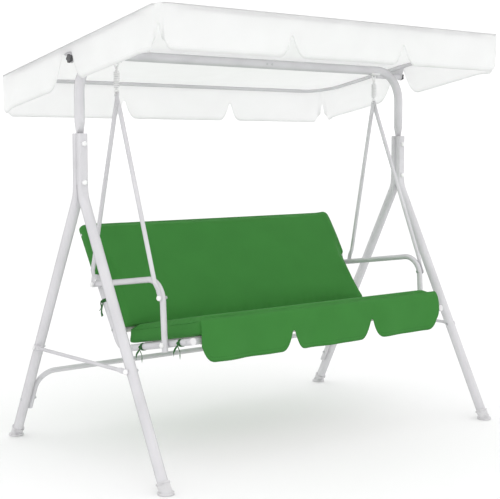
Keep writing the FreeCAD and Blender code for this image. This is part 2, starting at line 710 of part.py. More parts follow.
def end_plug(end, outward, diameter, wall):
    """Plastic plug that closes a tube's open end."""
    outward = unit(outward)
    stem = cylinder(end - outward * PLUG_STEM, end, diameter - 2 * wall - PLUG_FIT)
    head = cylinder(end + outward * 0.1, end + outward * PLUG_HEAD_T, diameter)
    rim = [edge for edge in head.Edges if (edge.CenterOfMass - end - outward * PLUG_HEAD_T).Length < 0.05]
    neck = cylinder(end - outward, end + outward, diameter / 2)
    return head.makeFillet(PLUG_HEAD_T / 2, rim).fuse([stem, neck]).removeSplitter()


def tube_end_plugs(side):
    rear, corner, foot = arm_points(side)
    x = side * SIDE_TUBE_X
    knee = side_point(x, KNEE)
    ends = [(rear, rear - corner, ARM_D), (foot, foot - corner, ARM_D)]
    for tip in (seat_yz(SEAT_RAIL_LENGTH, 0), back_yz(BACK_RAIL_LENGTH, 0)):
        point = side_point(x, tip)
        ends.append((point, point - knee, SIDE_TUBE_D))
    return [end_plug(point, outward, diameter, SIDE_TUBE_WALL) for point, outward, diameter in ends]


def arm_bolts(side):
    """Bolts at the armrest: rear with hanger and back rail, front with hanger, and foot with seat rail."""
    outer = HANGER_TAB_X + TAB_T / 2 + HEAD_GAP
    frame_inside = SIDE_TUBE_INNER_X - THREAD_END_GAP
    arm_inside = ARM_X - ARM_D / 2 - THREAD_END_GAP
    arm_outside = ARM_X + ARM_D / 2 + HEAD_GAP
    rows = ((ARM_REAR, outer, frame_inside), (HANGER_FEET["front"], outer, arm_inside),
            (armrest_rail_bolt(), arm_outside, frame_inside))
    bolts = []
    nuts = []
    caps = []
    for yz, head_x, nut_x in rows:
        seat = side_point(side * head_x, yz)
        inward = V(-side, 0, 0)
        length = head_x - nut_x + SMALL_BOLT_D * NUT_H_RATIO + 1
        bolts.append(bolt(seat, inward, length, SMALL_BOLT_D))
        nuts.append(nut(side_point(side * nut_x, yz), inward, SMALL_BOLT_D))
        caps.append(cap(seat + V(side * 0.1, 0, 0), V(side, 0, 0)))
    return bolts, nuts, caps


def sling(first, last, lift_sign):
    """Cloth panel stretched between two rails, with a sewn loop round each."""
    inner_r = SIDE_TUBE_D / 2 + GAP
    outer_r = inner_r + SLING_T
    a = side_point(-SLING_HALF_WIDTH, first)
    b = side_point(-SLING_HALF_WIDTH, last)
    width = V(2 * SLING_HALF_WIDTH, 0, 0)
    along = unit(b - a)
    lift = unit(X_AXIS.cross(along)) * lift_sign
    corners = [a + lift * inner_r, b + lift * inner_r, b + lift * outer_r, a + lift * outer_r]
    panel = Part.Face(Part.Wire(Part.makePolygon(corners + corners[:1]))).extrude(width)
    loops = [cylinder(p, p + width, 2 * outer_r) for p in (a, b)]
    rods = [cylinder(p - X_AXIS, p + width + X_AXIS, 2 * inner_r) for p in (a, b)]
    return panel.fuse(loops).cut(rods).removeSplitter()


# ---------------------------------------------------------------- cushions, skirt and ties

SEAT_PAD_BOTTOM_N = SIDE_TUBE_D / 2 + GAP + SLING_T + FABRIC_GAP
SEAT_TOP_N = SEAT_PAD_BOTTOM_N + SEAT_PAD_T


def prism_x(outline, half_width):
    """Solid of one side-view outline across the width."""
    points = [side_point(-half_width, yz) for yz in outline]
    return Part.Face(Part.Wire(Part.makePolygon(points + points[:1]))).extrude(V(2 * half_width, 0, 0))


SEAT_FRONT_Y = seat_yz(SEAT_PAD_FRONT_S, SEAT_TOP_N)[0]


def seat_front_at(n):
    """Point on the seat cushion's upright front face, n above the rails."""
    a = math.radians(SEAT_SLOPE)
    s = (KNEE[0] + n * math.sin(a) - SEAT_FRONT_Y) / math.cos(a)
    return seat_yz(s, n)


def make_seat_pad():
    outline = [seat_front_at(SEAT_PAD_BOTTOM_N), seat_front_at(SEAT_TOP_N),
               seat_yz(SEAT_PAD_REAR_S, SEAT_TOP_N), seat_yz(SEAT_PAD_REAR_S, SEAT_PAD_BOTTOM_N)]
    return prism_x(outline, SEAT_PAD_HALF_WIDTH)


def back_pad_bottom_s(n):
    """Where the back cushion's underside meets the seat's top face, at a distance in front of the rails."""
    a = math.radians(SEAT_SLOPE)
    b = math.radians(BACK_RECLINE)
    y0, z0 = back_yz(0, n)
    rise = (SEAT_TOP_N + FABRIC_GAP) - ((y0 - KNEE[0]) * math.sin(a) + (z0 - KNEE[1]) * math.cos(a))
    return rise / (math.sin(a) * math.sin(b) + math.cos(a) * math.cos(b))


def make_back_cushion():
    """Back cushion whose cover is also a sleeve pulled over the top of the back frame."""
    back_n = SIDE_TUBE_D / 2 + GAP + SLING_T + FABRIC_GAP
    rear_n = -(SIDE_TUBE_D / 2 + GAP + SLING_T + FABRIC_GAP)
    front_low = back_yz(back_pad_bottom_s(BACK_PAD_FRONT_N), BACK_PAD_FRONT_N)
    front_high = back_yz(BACK_PAD_TOP_S, BACK_PAD_TOP_FRONT_N)
    pad = prism_x([back_yz(back_pad_bottom_s(back_n), back_n), front_low, front_high,
                   back_yz(BACK_PAD_TOP_S, back_n)], BACK_PAD_HALF_WIDTH)
    inside_top = BACK_PAD_TOP_S - SLEEVE_T
    front_n = back_n + SLEEVE_T
    outer_n = rear_n - SLEEVE_T
    outer = prism_x([back_yz(SLEEVE_BOTTOM_S, front_n), back_yz(BACK_PAD_TOP_S, front_n),
                     back_yz(BACK_PAD_TOP_S, outer_n), back_yz(SLEEVE_BOTTOM_S, outer_n)], SLEEVE_HALF_WIDTH)
    below = SLEEVE_BOTTOM_S - 1
    hollow = prism_x([back_yz(below, back_n), back_yz(inside_top, back_n), back_yz(inside_top, rear_n),
                      back_yz(below, rear_n)], SLEEVE_HALF_WIDTH - SLEEVE_T)
    return pad.fuse(outer.cut(hollow)).removeSplitter()


def notch_tool(centre, height, foot_half_width, crown, across, through, depth):
    """Bell-shaped cutter for the gap between two lobes; centre is on the cloth's lower edge."""
    up = unit(across.cross(through))
    if up.z < 0:
        up = up * -1
    spread = foot_half_width - crown
    shoulder = (height - crown) * 0.5

    def at(u, v):
        return centre + across * u + up * v - through * (depth / 2)

    def flank(sign):
        """One side of the bell, from the lower edge up to the crown."""
        foot = at(sign * foot_half_width, 0)
        bend = at(sign * (crown + spread * 0.3), shoulder * 0.3)
        waist = at(sign * (crown + spread * 0.1), shoulder)
        return [Part.Arc(foot, bend, waist).toShape(),
                Part.LineSegment(waist, at(sign * crown, height - crown)).toShape()]

    top = Part.Arc(at(crown, height - crown), at(0, height), at(-crown, height - crown)).toShape()
    below = Part.makePolygon([at(foot_half_width, 0), at(foot_half_width, -height), at(-foot_half_width,
                                                                                       -height),
                              at(-foot_half_width, 0)])
    edges = flank(1) + [top] + flank(-1) + below.Edges
    wire = Part.Wire(Part.__sortEdges__(edges))
    return Part.Face(wire).extrude(through * depth)


def make_skirt():
    """Skirt that hangs from the seat cushion's front edge, in three lobes."""
    top_y, top_z = seat_yz(SEAT_PAD_FRONT_S, SEAT_TOP_N)
    front = top_y - FABRIC_GAP - SKIRT_T
    low = top_z - SKIRT_DROP
    body = Part.makeBox(2 * SEAT_PAD_HALF_WIDTH, SKIRT_T, SKIRT_DROP, V(-SEAT_PAD_HALF_WIDTH, front, low))
    corners = [edge
               for edge in body.Edges if abs(edge.CenterOfMass.z - low) < 0.1 and edge.Length < 2 * SKIRT_T]
    body = body.makeFillet(SKIRT_CORNER_R, corners)
    tools = [notch_tool(V(x, front, low), SKIRT_NOTCH_H, SKIRT_NOTCH_HALF_WIDTH, SKIRT_NOTCH_CROWN,
                        X_AXIS, Y_AXIS, 4 * SKIRT_T) for x in SKIRT_NOTCH_X]
    return body.cut(tools)


def make_tie(x, yz, along_yz):
    """Ribbon wrapped round a tube, knotted on its outer side, with one tail hanging."""
    inner_r = SIDE_TUBE_D / 2 + GAP
    centre = side_point(x, yz)
    along = unit(V(0, along_yz[0], along_yz[1]))
    start = centre - along * (TIE_WIDTH / 2)
    band = Part.makeCylinder(inner_r + TIE_T, TIE_WIDTH, start, along)
    outward = 1 if x > 0 else -1
    knot_at = centre + X_AXIS * (outward * (inner_r + TIE_T + 1))
    knot = Part.makeSphere(TIE_WIDTH * 0.3, knot_at)
    tail_width = TIE_WIDTH * 0.7
    tail = Part.makeBox(2 * TIE_T, tail_width, TIE_TAIL, knot_at + V(-TIE_T, -tail_width / 2, -TIE_TAIL))
    rod = Part.makeCylinder(inner_r, TIE_WIDTH * 3, start - along * TIE_WIDTH, along)
    return band.fuse([knot, tail]).cut(rod)


# ---------------------------------------------------------------- canopy

def canopy_yz(s, n):
    """Point s behind the tilt pivot along the canopy's slope and n above it, in the side view."""
    a = math.radians(CANOPY_SLOPE)
    return (CANOPY_PIVOT[0] + s * math.cos(a) + n * math.sin(a),
            CANOPY_PIVOT[1] - s * math.sin(a) + n * math.cos(a))


CANOPY_ARM_X = STUB_END_X + GAP + BRACKET_T / 2


def make_canopy_rail(end):
    """U-shaped tube: two side arms and the bar along the canopy's front or rear edge."""
    s_end = -CANOPY_FRONT_S if end == "front" else CANOPY_REAR_S
    s_start = CANOPY_SLEEVE_S + (-RAIL_BUTT_GAP if end == "front" else RAIL_BUTT_GAP)
    arm = side_point(-CANOPY_ARM_X, canopy_yz(s_start, CANOPY_ARM_RISE))
    corner = side_point(-CANOPY_ARM_X, canopy_yz(s_end, CANOPY_ARM_RISE))
    other = [V(-p.x, p.y, p.z) for p in (corner, arm)]
    return bent_tube([arm, corner] + other, CANOPY_CORNER_R, CANOPY_TUBE_D, SMALL_TUBE_WALL)


def make_canopy_bracket(side):
    """Sleeve that joins the two canopy rails, with the tilt plate welded under it."""
    x = side * CANOPY_ARM_X
    inner_d = CANOPY_TUBE_D + 0.3
    start = side_point(x, canopy_yz(CANOPY_SLEEVE_S - CANOPY_SLEEVE_HALF, CANOPY_ARM_RISE))
    finish = side_point(x, canopy_yz(CANOPY_SLEEVE_S + CANOPY_SLEEVE_HALF, CANOPY_ARM_RISE))
    sleeve = cylinder(start, finish, inner_d + 2 * CANOPY_SLEEVE_T)
    half = BRACKET_WIDTH / 2
    plate_x = x - BRACKET_T / 2
    under_sleeve = CANOPY_ARM_RISE - CANOPY_TUBE_D / 2
    outline = [canopy_yz(-half, 0), canopy_yz(CANOPY_SLEEVE_S - CANOPY_SLEEVE_HALF + 5, under_sleeve),
               canopy_yz(CANOPY_SLEEVE_S + CANOPY_SLEEVE_HALF - 5, under_sleeve), canopy_yz(half, 0)]
    points = [side_point(plate_x, yz) for yz in outline]
    plate = Part.Face(Part.Wire(Part.makePolygon(points + points[:1]))).extrude(V(BRACKET_T, 0, 0))
    lug = Part.makeCylinder(half, BRACKET_T, side_point(plate_x, CANOPY_PIVOT), X_AXIS)
    along = unit(finish - start)
    bore = cylinder(start - along, finish + along, inner_d)
    body = sleeve.fuse([plate, lug]).cut(bore)
    return drill(body, (side_point(plate_x - BOLT_D, CANOPY_PIVOT), X_AXIS, 3 * BOLT_D,
                        BOLT_D)).removeSplitter()


KNOB_BASE_X = CANOPY_ARM_X + BRACKET_T / 2 + KNOB_GAP


def make_pivot_stud(side):
    """Threaded stud from the beam's stub through the canopy bracket into the knob."""
    start = side_point(side * (STUB_END_X - STUD_DEPTH + 1), CANOPY_PIVOT)
    return cylinder(start, side_point(side * (KNOB_BASE_X + KNOB_H - 4), CANOPY_PIVOT), BOLT_D)


def make_knob(side):
    """Star knob that clamps the canopy's tilt."""
    base = side_point(side * KNOB_BASE_X, CANOPY_PIVOT)
    out = V(side, 0, 0)
    hub = Part.makeCylinder(BOLT_D, 4, base, out)
    head = Part.makeCylinder(KNOB_D / 2, KNOB_H - 4, base + out * 4, out)
    scallops = []
    for index in range(KNOB_LOBES):
        angle = 2 * math.pi * (index + 0.5) / KNOB_LOBES
        centre = base + V(0, math.cos(angle), math.sin(angle)) * (KNOB_D / 2 + 2) + out * 3
        scallops.append(Part.makeCylinder(KNOB_D * 0.2, KNOB_H, centre, out))
    hole = Part.makeCylinder(BOLT_D / 2 + 0.05, KNOB_H - 2, base - out, out)
    return hub.fuse(head).cut(scallops).cut(hole)


def make_canopy():
    """Canopy cover: sloping top with a valance on four sides, open underneath, its lower edge cut in lobes."""
    t = CANOPY_FABRIC_T
    slope = math.tan(math.radians(CANOPY_SLOPE))
    over_rail = CANOPY_TUBE_D / 2 + FABRIC_GAP
    over_sleeve = CANOPY_TUBE_D / 2 + CANOPY_SLEEVE_T + 2 * GAP
    half = CANOPY_ARM_X + over_sleeve
    front_y = canopy_yz(-CANOPY_FRONT_S, CANOPY_ARM_RISE)[0] - over_rail
    rear_y = canopy_yz(CANOPY_REAR_S, CANOPY_ARM_RISE)[0] + over_rail
    ridge_y, ridge_z = canopy_yz(0, CANOPY_ARM_RISE + over_sleeve)

    def underside(y):
        return ridge_z - (y - ridge_y) * slope

    def edge_z(y):
        return underside(y) + t - VALANCE_DROP

    outer = [(front_y - t, underside(front_y - t) + t), (rear_y + t, underside(rear_y + t) + t),
             (rear_y + t, edge_z(rear_y + t)), (front_y - t, edge_z(front_y - t))]
    inner = [(front_y, underside(front_y)), (rear_y, underside(rear_y)),
             (rear_y, underside(rear_y) - 2 * VALANCE_DROP), (front_y,
                                                              underside(front_y) - 2 * VALANCE_DROP)]
    shell = prism_x(outer, half + t).cut(prism_x(inner, half))
    trimmed = VALANCE_DROP - SIDE_VALANCE_DROP
    front_in = front_y + CORNER_LOBE_R
    rear_in = rear_y - CORNER_LOBE_R
    band = [(front_in, edge_z(front_in) + trimmed), (rear_in, edge_z(rear_in) + trimmed),
            (rear_in, edge_z(rear_in) - trimmed), (front_in, edge_z(front_in) - trimmed)]
    tools = [prism_x(band, half + 2 * t)]
    for y in (front_y, rear_y):
        for x in (-1, 1):
            tools.append(notch_tool(V(x * half / 3, y, edge_z(y)), VALANCE_NOTCH_H,
                                    VALANCE_NOTCH_HALF_WIDTH,
                                    VALANCE_NOTCH_CROWN, X_AXIS, Y_AXIS, 8 * t))
            tools.append(corner_tool(V(x * half, y, edge_z(y))))
    for x in (-1, 1):
        tools.append(notch_tool(V(x * half, SIDE_NOTCH_Y, edge_z(SIDE_NOTCH_Y) + trimmed), SIDE_NOTCH_H,
                                SIDE_NOTCH_HALF_WIDTH, SIDE_NOTCH_CROWN, Y_AXIS, X_AXIS, 8 * t))
    return shell.cut(tools)


def corner_tool(corner):
    """Slit between the lobes of two valances, flared below where the lobes' corners are rounded."""
    slit_r = CORNER_LOBE_R * 0.3
    foot = corner + V(CORNER_LOBE_R, 0, -1)
    waist = corner + V(slit_r, 0, CORNER_LOBE_R)
    bend = corner + V(slit_r + (CORNER_LOBE_R - slit_r) * 0.3, 0, CORNER_LOBE_R * 0.3)
    tip = corner + V(slit_r * 0.3, 0, CORNER_SLIT_H)
    flare = Part.Arc(foot, bend, waist).toShape()
    rest = Part.makePolygon([waist, tip, corner + Z_AXIS * CORNER_SLIT_H, corner - Z_AXIS, foot])
    return Part.Face(Part.Wire([flare] + rest.Edges)).revolve(corner, Z_AXIS, 360)


# ---------------------------------------------------------------- the parts

def frame_parts():
    for side_name, side in SIDES.items():
        x = side * FRAME_HALF_WIDTH
        for end_name, end in ENDS.items():
            save(f"{end_name}_leg_{side_name}", make_leg(x, end))
            save(f"foot_shoe_{end_name}_{side_name}", make_shoe(x, end))
        save(f"side_brace_{side_name}", make_brace(side))
        save(f"top_beam_{side_name}", make_beam_half(side))
        save(f"hook_eye_{side_name}", make_hook_eye(side))
    save("rear_crossbar", make_crossbar())


def leg_top_fasteners(side):
    """Bolt, nut and cover at each of the two places where the leg tops clamp the post's tongue."""
    x = side * FRAME_HALF_WIDTH
    face = POST_TONGUE_T / 2 + LEG_TOP_DEPTH + HEAD_GAP
    rows = []
    for z in leg_bolt_heights():
        head = V(x, -face, z)
        length = 2 * face + BOLT_D * NUT_H_RATIO + 2
        rows.append((bolt(head, Y_AXIS, length, BOLT_D, LEG_BOLT_HEAD_D), nut(V(x, face, z), Y_AXIS,
                                                                              BOLT_D),
                     cap(head - Y_AXIS * 0.1, -Y_AXIS)))
    return rows


def cross_bolt(outer_x, inner_x, y, z, side):
    """Bolt and nut through parts stacked along X."""
    inward = V(-side, 0, 0)
    length = outer_x - inner_x + SMALL_BOLT_D * NUT_H_RATIO + 2
    return bolt(V(side * outer_x, y, z), inward, length, SMALL_BOLT_D), nut(V(side * inner_x, y, z),
                                                                            inward, SMALL_BOLT_D)


def frame_fasteners():
    leg_rows = [row for side in SIDES.values() for row in leg_top_fasteners(side)]
    leg_side = FRAME_HALF_WIDTH + LEG_D / 2
    leg_inside = FRAME_HALF_WIDTH - LEG_D / 2 - 0.1
    brace_head = leg_side + GAP + TAB_T + HEAD_GAP
    brace_rows = []
    bar_rows = []
    covers = [row[2] for row in leg_rows]
    for side in SIDES.values():
        for end in ENDS.values():
            y = end * leg_y(BRACE_Z)
            brace_rows.append(cross_bolt(brace_head, leg_inside, y, BRACE_Z, side))
            covers.append(cap(V(side * (brace_head + HEAD_GAP), y, BRACE_Z), V(side, 0, 0)))
        bar_inside = CROSSBAR_X - CROSSBAR_D / 2 - 0.1
        bar_rows.append(cross_bolt(leg_side + HEAD_GAP, bar_inside, leg_y(CROSSBAR_BOLT_Z), CROSSBAR_BOLT_Z,
                                   side))
    save("leg_bolts", *[row[0] for row in leg_rows])
    save("leg_nuts", *[row[1] for row in leg_rows])
    save("frame_bolt_caps", *covers)
    save("brace_bolts", *[row[0] for row in brace_rows])
    save("crossbar_bolts", *[row[0] for row in bar_rows])
    save("frame_nuts", *[row[1] for row in brace_rows + bar_rows])


def beam_fasteners():
    front = BEAM_D / 2 + THREAD_END_GAP
    screws = [bolt(V(x, -front, BEAM_Z), Y_AXIS, SCREW_LENGTH, SCREW_D) for x in BEAM_SCREW_X]
    saddle_face = BEAM_Z - BEAM_D / 2 - GAP - SADDLE_T - 0.1
    for side in SIDES.values():
        for along in (-1, 1):
            x = side * HOOK_X + along * (SADDLE_LENGTH / 2 - SADDLE_SCREW_INSET)
            screws.append(bolt(V(x, 0, saddle_face), Z_AXIS, SCREW_LENGTH, SCREW_D))
    save("beam_screws", *screws)
    save("canopy_pivot_studs", *[make_pivot_stud(side) for side in SIDES.values()])


def seat_parts():
    for side_name, side in SIDES.items():
        save(f"side_frame_{side_name}", make_side_frame(side))
        save(f"armrest_{side_name}", make_armrest(side))
        for end in ENDS:
            save(f"hanger_rod_{end}_{side_name}", make_hanger(side, end))
    for name, yz in RAILS.items():
        save(name, make_rail(yz))
    save("rail_end_plugs", *rail_plugs())
    save("rail_bolts", *rail_bolts())
    rows = [arm_bolts(side) for side in SIDES.values()]
    for index, name in enumerate(("armrest_bolts", "armrest_nuts", "armrest_bolt_caps")):
        save(name, *[piece for row in rows for piece in row[index]])
    save("tube_end_plugs", *[piece for side in SIDES.values() for piece in tube_end_plugs(side)])


def soft_parts():
    save("seat_sling", sling(RAILS["seat_rear_rail"], RAILS["seat_front_rail"], -1))
    save("back_sling", sling(RAILS["back_lower_rail"], RAILS["back_top_rail"], 1))
    save("seat_cushion", make_seat_pad())
    save("back_cushion", make_back_cushion())
    save("front_skirt", make_skirt())
    seat_dir = (-math.cos(math.radians(SEAT_SLOPE)), math.sin(math.radians(SEAT_SLOPE)))
    back_dir = (math.sin(math.radians(BACK_RECLINE)), math.cos(math.radians(BACK_RECLINE)))
    seat_ties = [make_tie(side * SIDE_TUBE_X, seat_yz(s, 0), seat_dir) for side in SIDES.values()
                 for s in SEAT_TIE_S]
    back_ties = [make_tie(side * SIDE_TUBE_X, back_yz(BACK_TIE_S, 0), back_dir) for side in SIDES.values()]
    save("cover_ties", *(seat_ties + back_ties))


def canopy_parts():
    save("canopy_cover", make_canopy())
    for end in ENDS:
        save(f"canopy_{end}_rail", make_canopy_rail(end))
    for side_name, side in SIDES.items():
        save(f"canopy_bracket_{side_name}", make_canopy_bracket(side))
        save(f"canopy_knob_{side_name}", make_knob(side))
        save(f"suspension_spring_{side_name}", make_spring(side))


os.makedirs("parts", exist_ok=True)
frame_parts()
frame_fasteners()
beam_fasteners()
seat_parts()
soft_parts()
canopy_parts()
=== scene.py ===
# %% [markdown]
# # A garden swing bench under a tilting canopy
# The bench hangs from a tube stand. All tubes, brackets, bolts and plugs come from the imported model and
# only need their finishes. Everything soft is made here: the canopy, the cushions, the skirt, the slings
# and the ribbons. So are the two coil springs. Each lesson below says what the piece is and why it is
# made that way.

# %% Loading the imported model
import bpy
import json
import math
from mathutils import Matrix, Vector

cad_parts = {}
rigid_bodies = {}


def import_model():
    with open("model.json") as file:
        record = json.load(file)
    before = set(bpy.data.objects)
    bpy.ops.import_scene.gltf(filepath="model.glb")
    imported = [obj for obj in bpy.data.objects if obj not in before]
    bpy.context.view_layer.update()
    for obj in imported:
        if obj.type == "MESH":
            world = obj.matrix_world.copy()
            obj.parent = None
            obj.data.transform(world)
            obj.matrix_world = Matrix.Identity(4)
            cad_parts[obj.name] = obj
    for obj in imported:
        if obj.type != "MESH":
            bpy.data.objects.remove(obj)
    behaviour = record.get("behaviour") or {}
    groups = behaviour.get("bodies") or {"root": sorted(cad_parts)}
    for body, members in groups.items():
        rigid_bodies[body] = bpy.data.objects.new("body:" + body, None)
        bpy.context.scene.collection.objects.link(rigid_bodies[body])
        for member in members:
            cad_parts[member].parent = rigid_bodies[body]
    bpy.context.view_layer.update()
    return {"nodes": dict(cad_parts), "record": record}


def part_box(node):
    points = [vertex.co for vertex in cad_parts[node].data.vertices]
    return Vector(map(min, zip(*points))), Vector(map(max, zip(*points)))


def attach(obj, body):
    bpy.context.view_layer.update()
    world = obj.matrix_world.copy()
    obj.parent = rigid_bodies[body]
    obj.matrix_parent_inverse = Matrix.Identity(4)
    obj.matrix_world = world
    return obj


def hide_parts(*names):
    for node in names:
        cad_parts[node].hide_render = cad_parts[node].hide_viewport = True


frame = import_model()
print("pieces from the model:", len(frame["nodes"]))

# %% [markdown]
# ## Camera
# A camera at a sitter's eye height, to the left of the bench and in front of it, with a long lens. A long
# lens keeps the posts nearly upright and shows the canopy from just below.

# %% Camera
CAMERA_PLACE = (-2.956, -3.5045, 1.1337)
CAMERA_TILT_DOWN = 5.14
CAMERA_YAW = -39.8
camera_data = bpy.data.cameras.new("camera")
camera_data.lens = 82.8
camera_data.sensor_width = 36.0
camera_data.sensor_fit = "HORIZONTAL"
camera = bpy.data.objects.new("camera", camera_data)
camera.location = CAMERA_PLACE
camera.rotation_euler = (math.radians(90 - CAMERA_TILT_DOWN), 0.0, math.radians(CAMERA_YAW))
bpy.context.scene.collection.objects.link(camera)
bpy.context.scene.camera = camera
print("camera at", tuple(camera.location))

# %% [markdown]
# ## Colour and node helpers
# Paint and cloth colours are written as the hex values that a colour picker shows. Shaders work in linear
# light, so one function turns a hex value to linear. A second small function adds a shader node, sets it
# up and links it, so each material below reads as a short list of nodes.

# %% Colour and node helpers
def linear(hex_colour):
    channels = [int(hex_colour[i:i + 2], 16) / 255 for i in (1, 3, 5)]
    return tuple(c / 12.92 if c <= 0.04045 else ((c + 0.055) / 1.055) ** 2.4 for c in channels) + (1.0,)


def add_node(tree, kind, sockets=None, **settings):
    """Adds a node. Settings are its properties; sockets are inputs, each a value or an output to link."""
    made = tree.nodes.new(kind)
    for name, value in settings.items():
        setattr(made, name, value)
    for name, value in (sockets or {}).items():
        if isinstance(value, bpy.types.NodeSocket):
            tree.links.new(value, made.inputs[name])
        else:
            made.inputs[name].default_value = value
    return made


def start_material(name):
    material = bpy.data.materials.new(name)
    material.use_nodes = True
    tree = material.node_tree
    shader = tree.nodes["Principled BSDF"]
    place = add_node(tree, "ShaderNodeTexCoord").outputs["Object"]
    return material, tree, shader, place


MM = 0.001
print("white is", linear("#ffffff"))

# %% [markdown]
# ## Powder coat
# Powder coat is dry paint baked on steel. It pools into a fine orange-peel skin, so highlights look soft
# and slightly broken. The skin's real wavelength is about 1.5 mm. A second, much larger noise makes the
# coat a little greyer here and there, as handling and weather do. A half-gloss tube mirrors the darker
# surroundings of a studio along its two rims, where the skin is seen edge-on. Layer Weight finds those
# rims and paints them grey in the base colour: a painted reflection, not a colour of the paint.

# %% Powder coat
ORANGE_PEEL = 2.5 * MM
SCUFF_SIZE = 140 * MM


def powder_coat(name, colour, worn_colour, painted_rim_reflection_colour, roughness):
    material, tree, shader, place = start_material(name)
    peel = add_node(tree, "ShaderNodeTexNoise", {"Vector": place, "Scale": 1 / ORANGE_PEEL, "Detail": 1.0})
    scuff = add_node(tree, "ShaderNodeTexNoise", {"Vector": place, "Scale": 1 / SCUFF_SIZE, "Detail": 5.0})
    spread = add_node(tree, "ShaderNodeMapRange", {"Value": scuff.outputs["Fac"], "From Min": 0.42,
                                                   "From Max": 0.72})
    tint = add_node(tree, "ShaderNodeMix", {"Factor": spread.outputs["Result"], "A": linear(colour),
                                            "B": linear(worn_colour)}, data_type="RGBA")
    # Painted reflection: rims seen edge-on are mixed towards a grey base colour, standing in for the darker
    # surroundings mirrored there.
    rim = add_node(tree, "ShaderNodeLayerWeight", {"Blend": 0.42})
    painted_reflection_share = add_node(tree, "ShaderNodeMapRange", {"Value": rim.outputs["Facing"], "From Min": 0.30,
                                                      "To Max": 0.75})
    coat_with_painted_reflection = add_node(tree, "ShaderNodeMix", {"Factor": painted_reflection_share.outputs["Result"],
                                             "A": tint.outputs["Result"],
                                             "B": linear(painted_rim_reflection_colour)}, data_type="RGBA")
    tree.links.new(coat_with_painted_reflection.outputs["Result"], shader.inputs["Base Color"])
    dull = add_node(tree, "ShaderNodeMapRange", {"Value": scuff.outputs["Fac"], "To Min": roughness - 0.06,
                                                 "To Max": roughness + 0.12})
    tree.links.new(dull.outputs["Result"], shader.inputs["Roughness"])
    bump = add_node(tree, "ShaderNodeBump", {"Height": peel.outputs["Fac"], "Strength": 0.12,
                                             "Distance": 0.4 * MM})
    tree.links.new(bump.outputs["Normal"], shader.inputs["Normal"])
    return material


# The third colour of each coat is its painted rim reflection, a grey painted onto the tube edges.
pale_coat = powder_coat("powder_coat_pale_grey", "#d6d5d8", "#cccbce", "#8d8c90", 0.34)
white_coat = powder_coat("powder_coat_white", "#f0f0f0", "#e2e2e2", "#a9a9ab", 0.30)
print("powder coats:", pale_coat.name, white_coat.name)

# %% [markdown]
# ## Zinc plate
# Bolts and nuts are steel with bright zinc. It is a metal, so its colour is its reflection. Fine crystals
# break up the roughness, at about 1 mm.

# %% Zinc plate
zinc_plate, tree, shader, place = start_material("bright_zinc_plate")
crystals = add_node(tree, "ShaderNodeTexVoronoi", {"Vector": place, "Scale": 1 / (1.2 * MM)})
sparkle = add_node(tree, "ShaderNodeMapRange", {"Value": crystals.outputs["Distance"], "To Min": 0.24,
                                                "To Max": 0.44})
tree.links.new(sparkle.outputs["Result"], shader.inputs["Roughness"])
shader.inputs["Base Color"].default_value = linear("#c9cbcc")
shader.inputs["Metallic"].default_value = 1.0
print("zinc:", zinc_plate.name)

# %% [markdown]
# ## Moulded plastics
# The shoes, the plugs and the bolt caps are polythene, and the knobs are nylon. A mould leaves a fine
# spark texture, which shows as a slight grain. The grain is about 0.8 mm, drawn a little coarser here so
# it can show.

# %% Moulded plastics
MOULD_GRAIN = 1.5 * MM


def moulded_plastic(name, colour, dirt_colour, roughness, grain_strength):
    material, tree, shader, place = start_material(name)
    grain = add_node(tree, "ShaderNodeTexNoise", {"Vector": place, "Scale": 1 / MOULD_GRAIN, "Detail": 2.0})
    dirt = add_node(tree, "ShaderNodeTexNoise", {"Vector": place, "Scale": 1 / (25 * MM), "Detail": 4.0})
    spread = add_node(tree, "ShaderNodeMapRange", {"Value": dirt.outputs["Fac"], "From Min": 0.45,
                                                   "From Max": 0.75})
    tint = add_node(tree, "ShaderNodeMix", {"Factor": spread.outputs["Result"], "A": linear(colour),
                                            "B": linear(dirt_colour)}, data_type="RGBA")
    tree.links.new(tint.outputs["Result"], shader.inputs["Base Color"])
    bump = add_node(tree, "ShaderNodeBump", {"Height": grain.outputs["Fac"], "Strength": grain_strength,
                                             "Distance": 0.3 * MM})
    tree.links.new(bump.outputs["Normal"], shader.inputs["Normal"])
    shader.inputs["Roughness"].default_value = roughness
    shader.inputs["IOR"].default_value = 1.5
    return material


shoe_plastic = moulded_plastic("polythene_shoe_grey", "#d2d1d3", "#b9b8ba", 0.5, 0.2)
plug_plastic = moulded_plastic("polythene_plug_pale", "#e3e2e3", "#d2d1d2", 0.45, 0.15)
cap_plastic = moulded_plastic("polythene_cap_white", "#f6f6f6", "#e9e9e9", 0.25, 0.05)
knob_plastic = moulded_plastic("nylon_knob_charcoal", "#4a4a4c", "#38383a", 0.4, 0.25)
print("plastics ready")

# %% [markdown]
# ## Woven cloth
# Canopy, cushions, slings and ribbons are plain-weave polyester. Two sets of fine bands crossing at right
# angles make the weave, as bump and as a slight change of tone. Real threads are 0.4 to 0.9 mm apart, too
# fine to show from a few metres, so they are drawn coarser. The second set of bands runs on a slant,
# halfway between up and back, so that it crosses both a level seat and an upright skirt. A slow noise
# gives the tone variation that dyed cloth has, and sheen gives the pale bloom of its fibres at grazing
# angles.

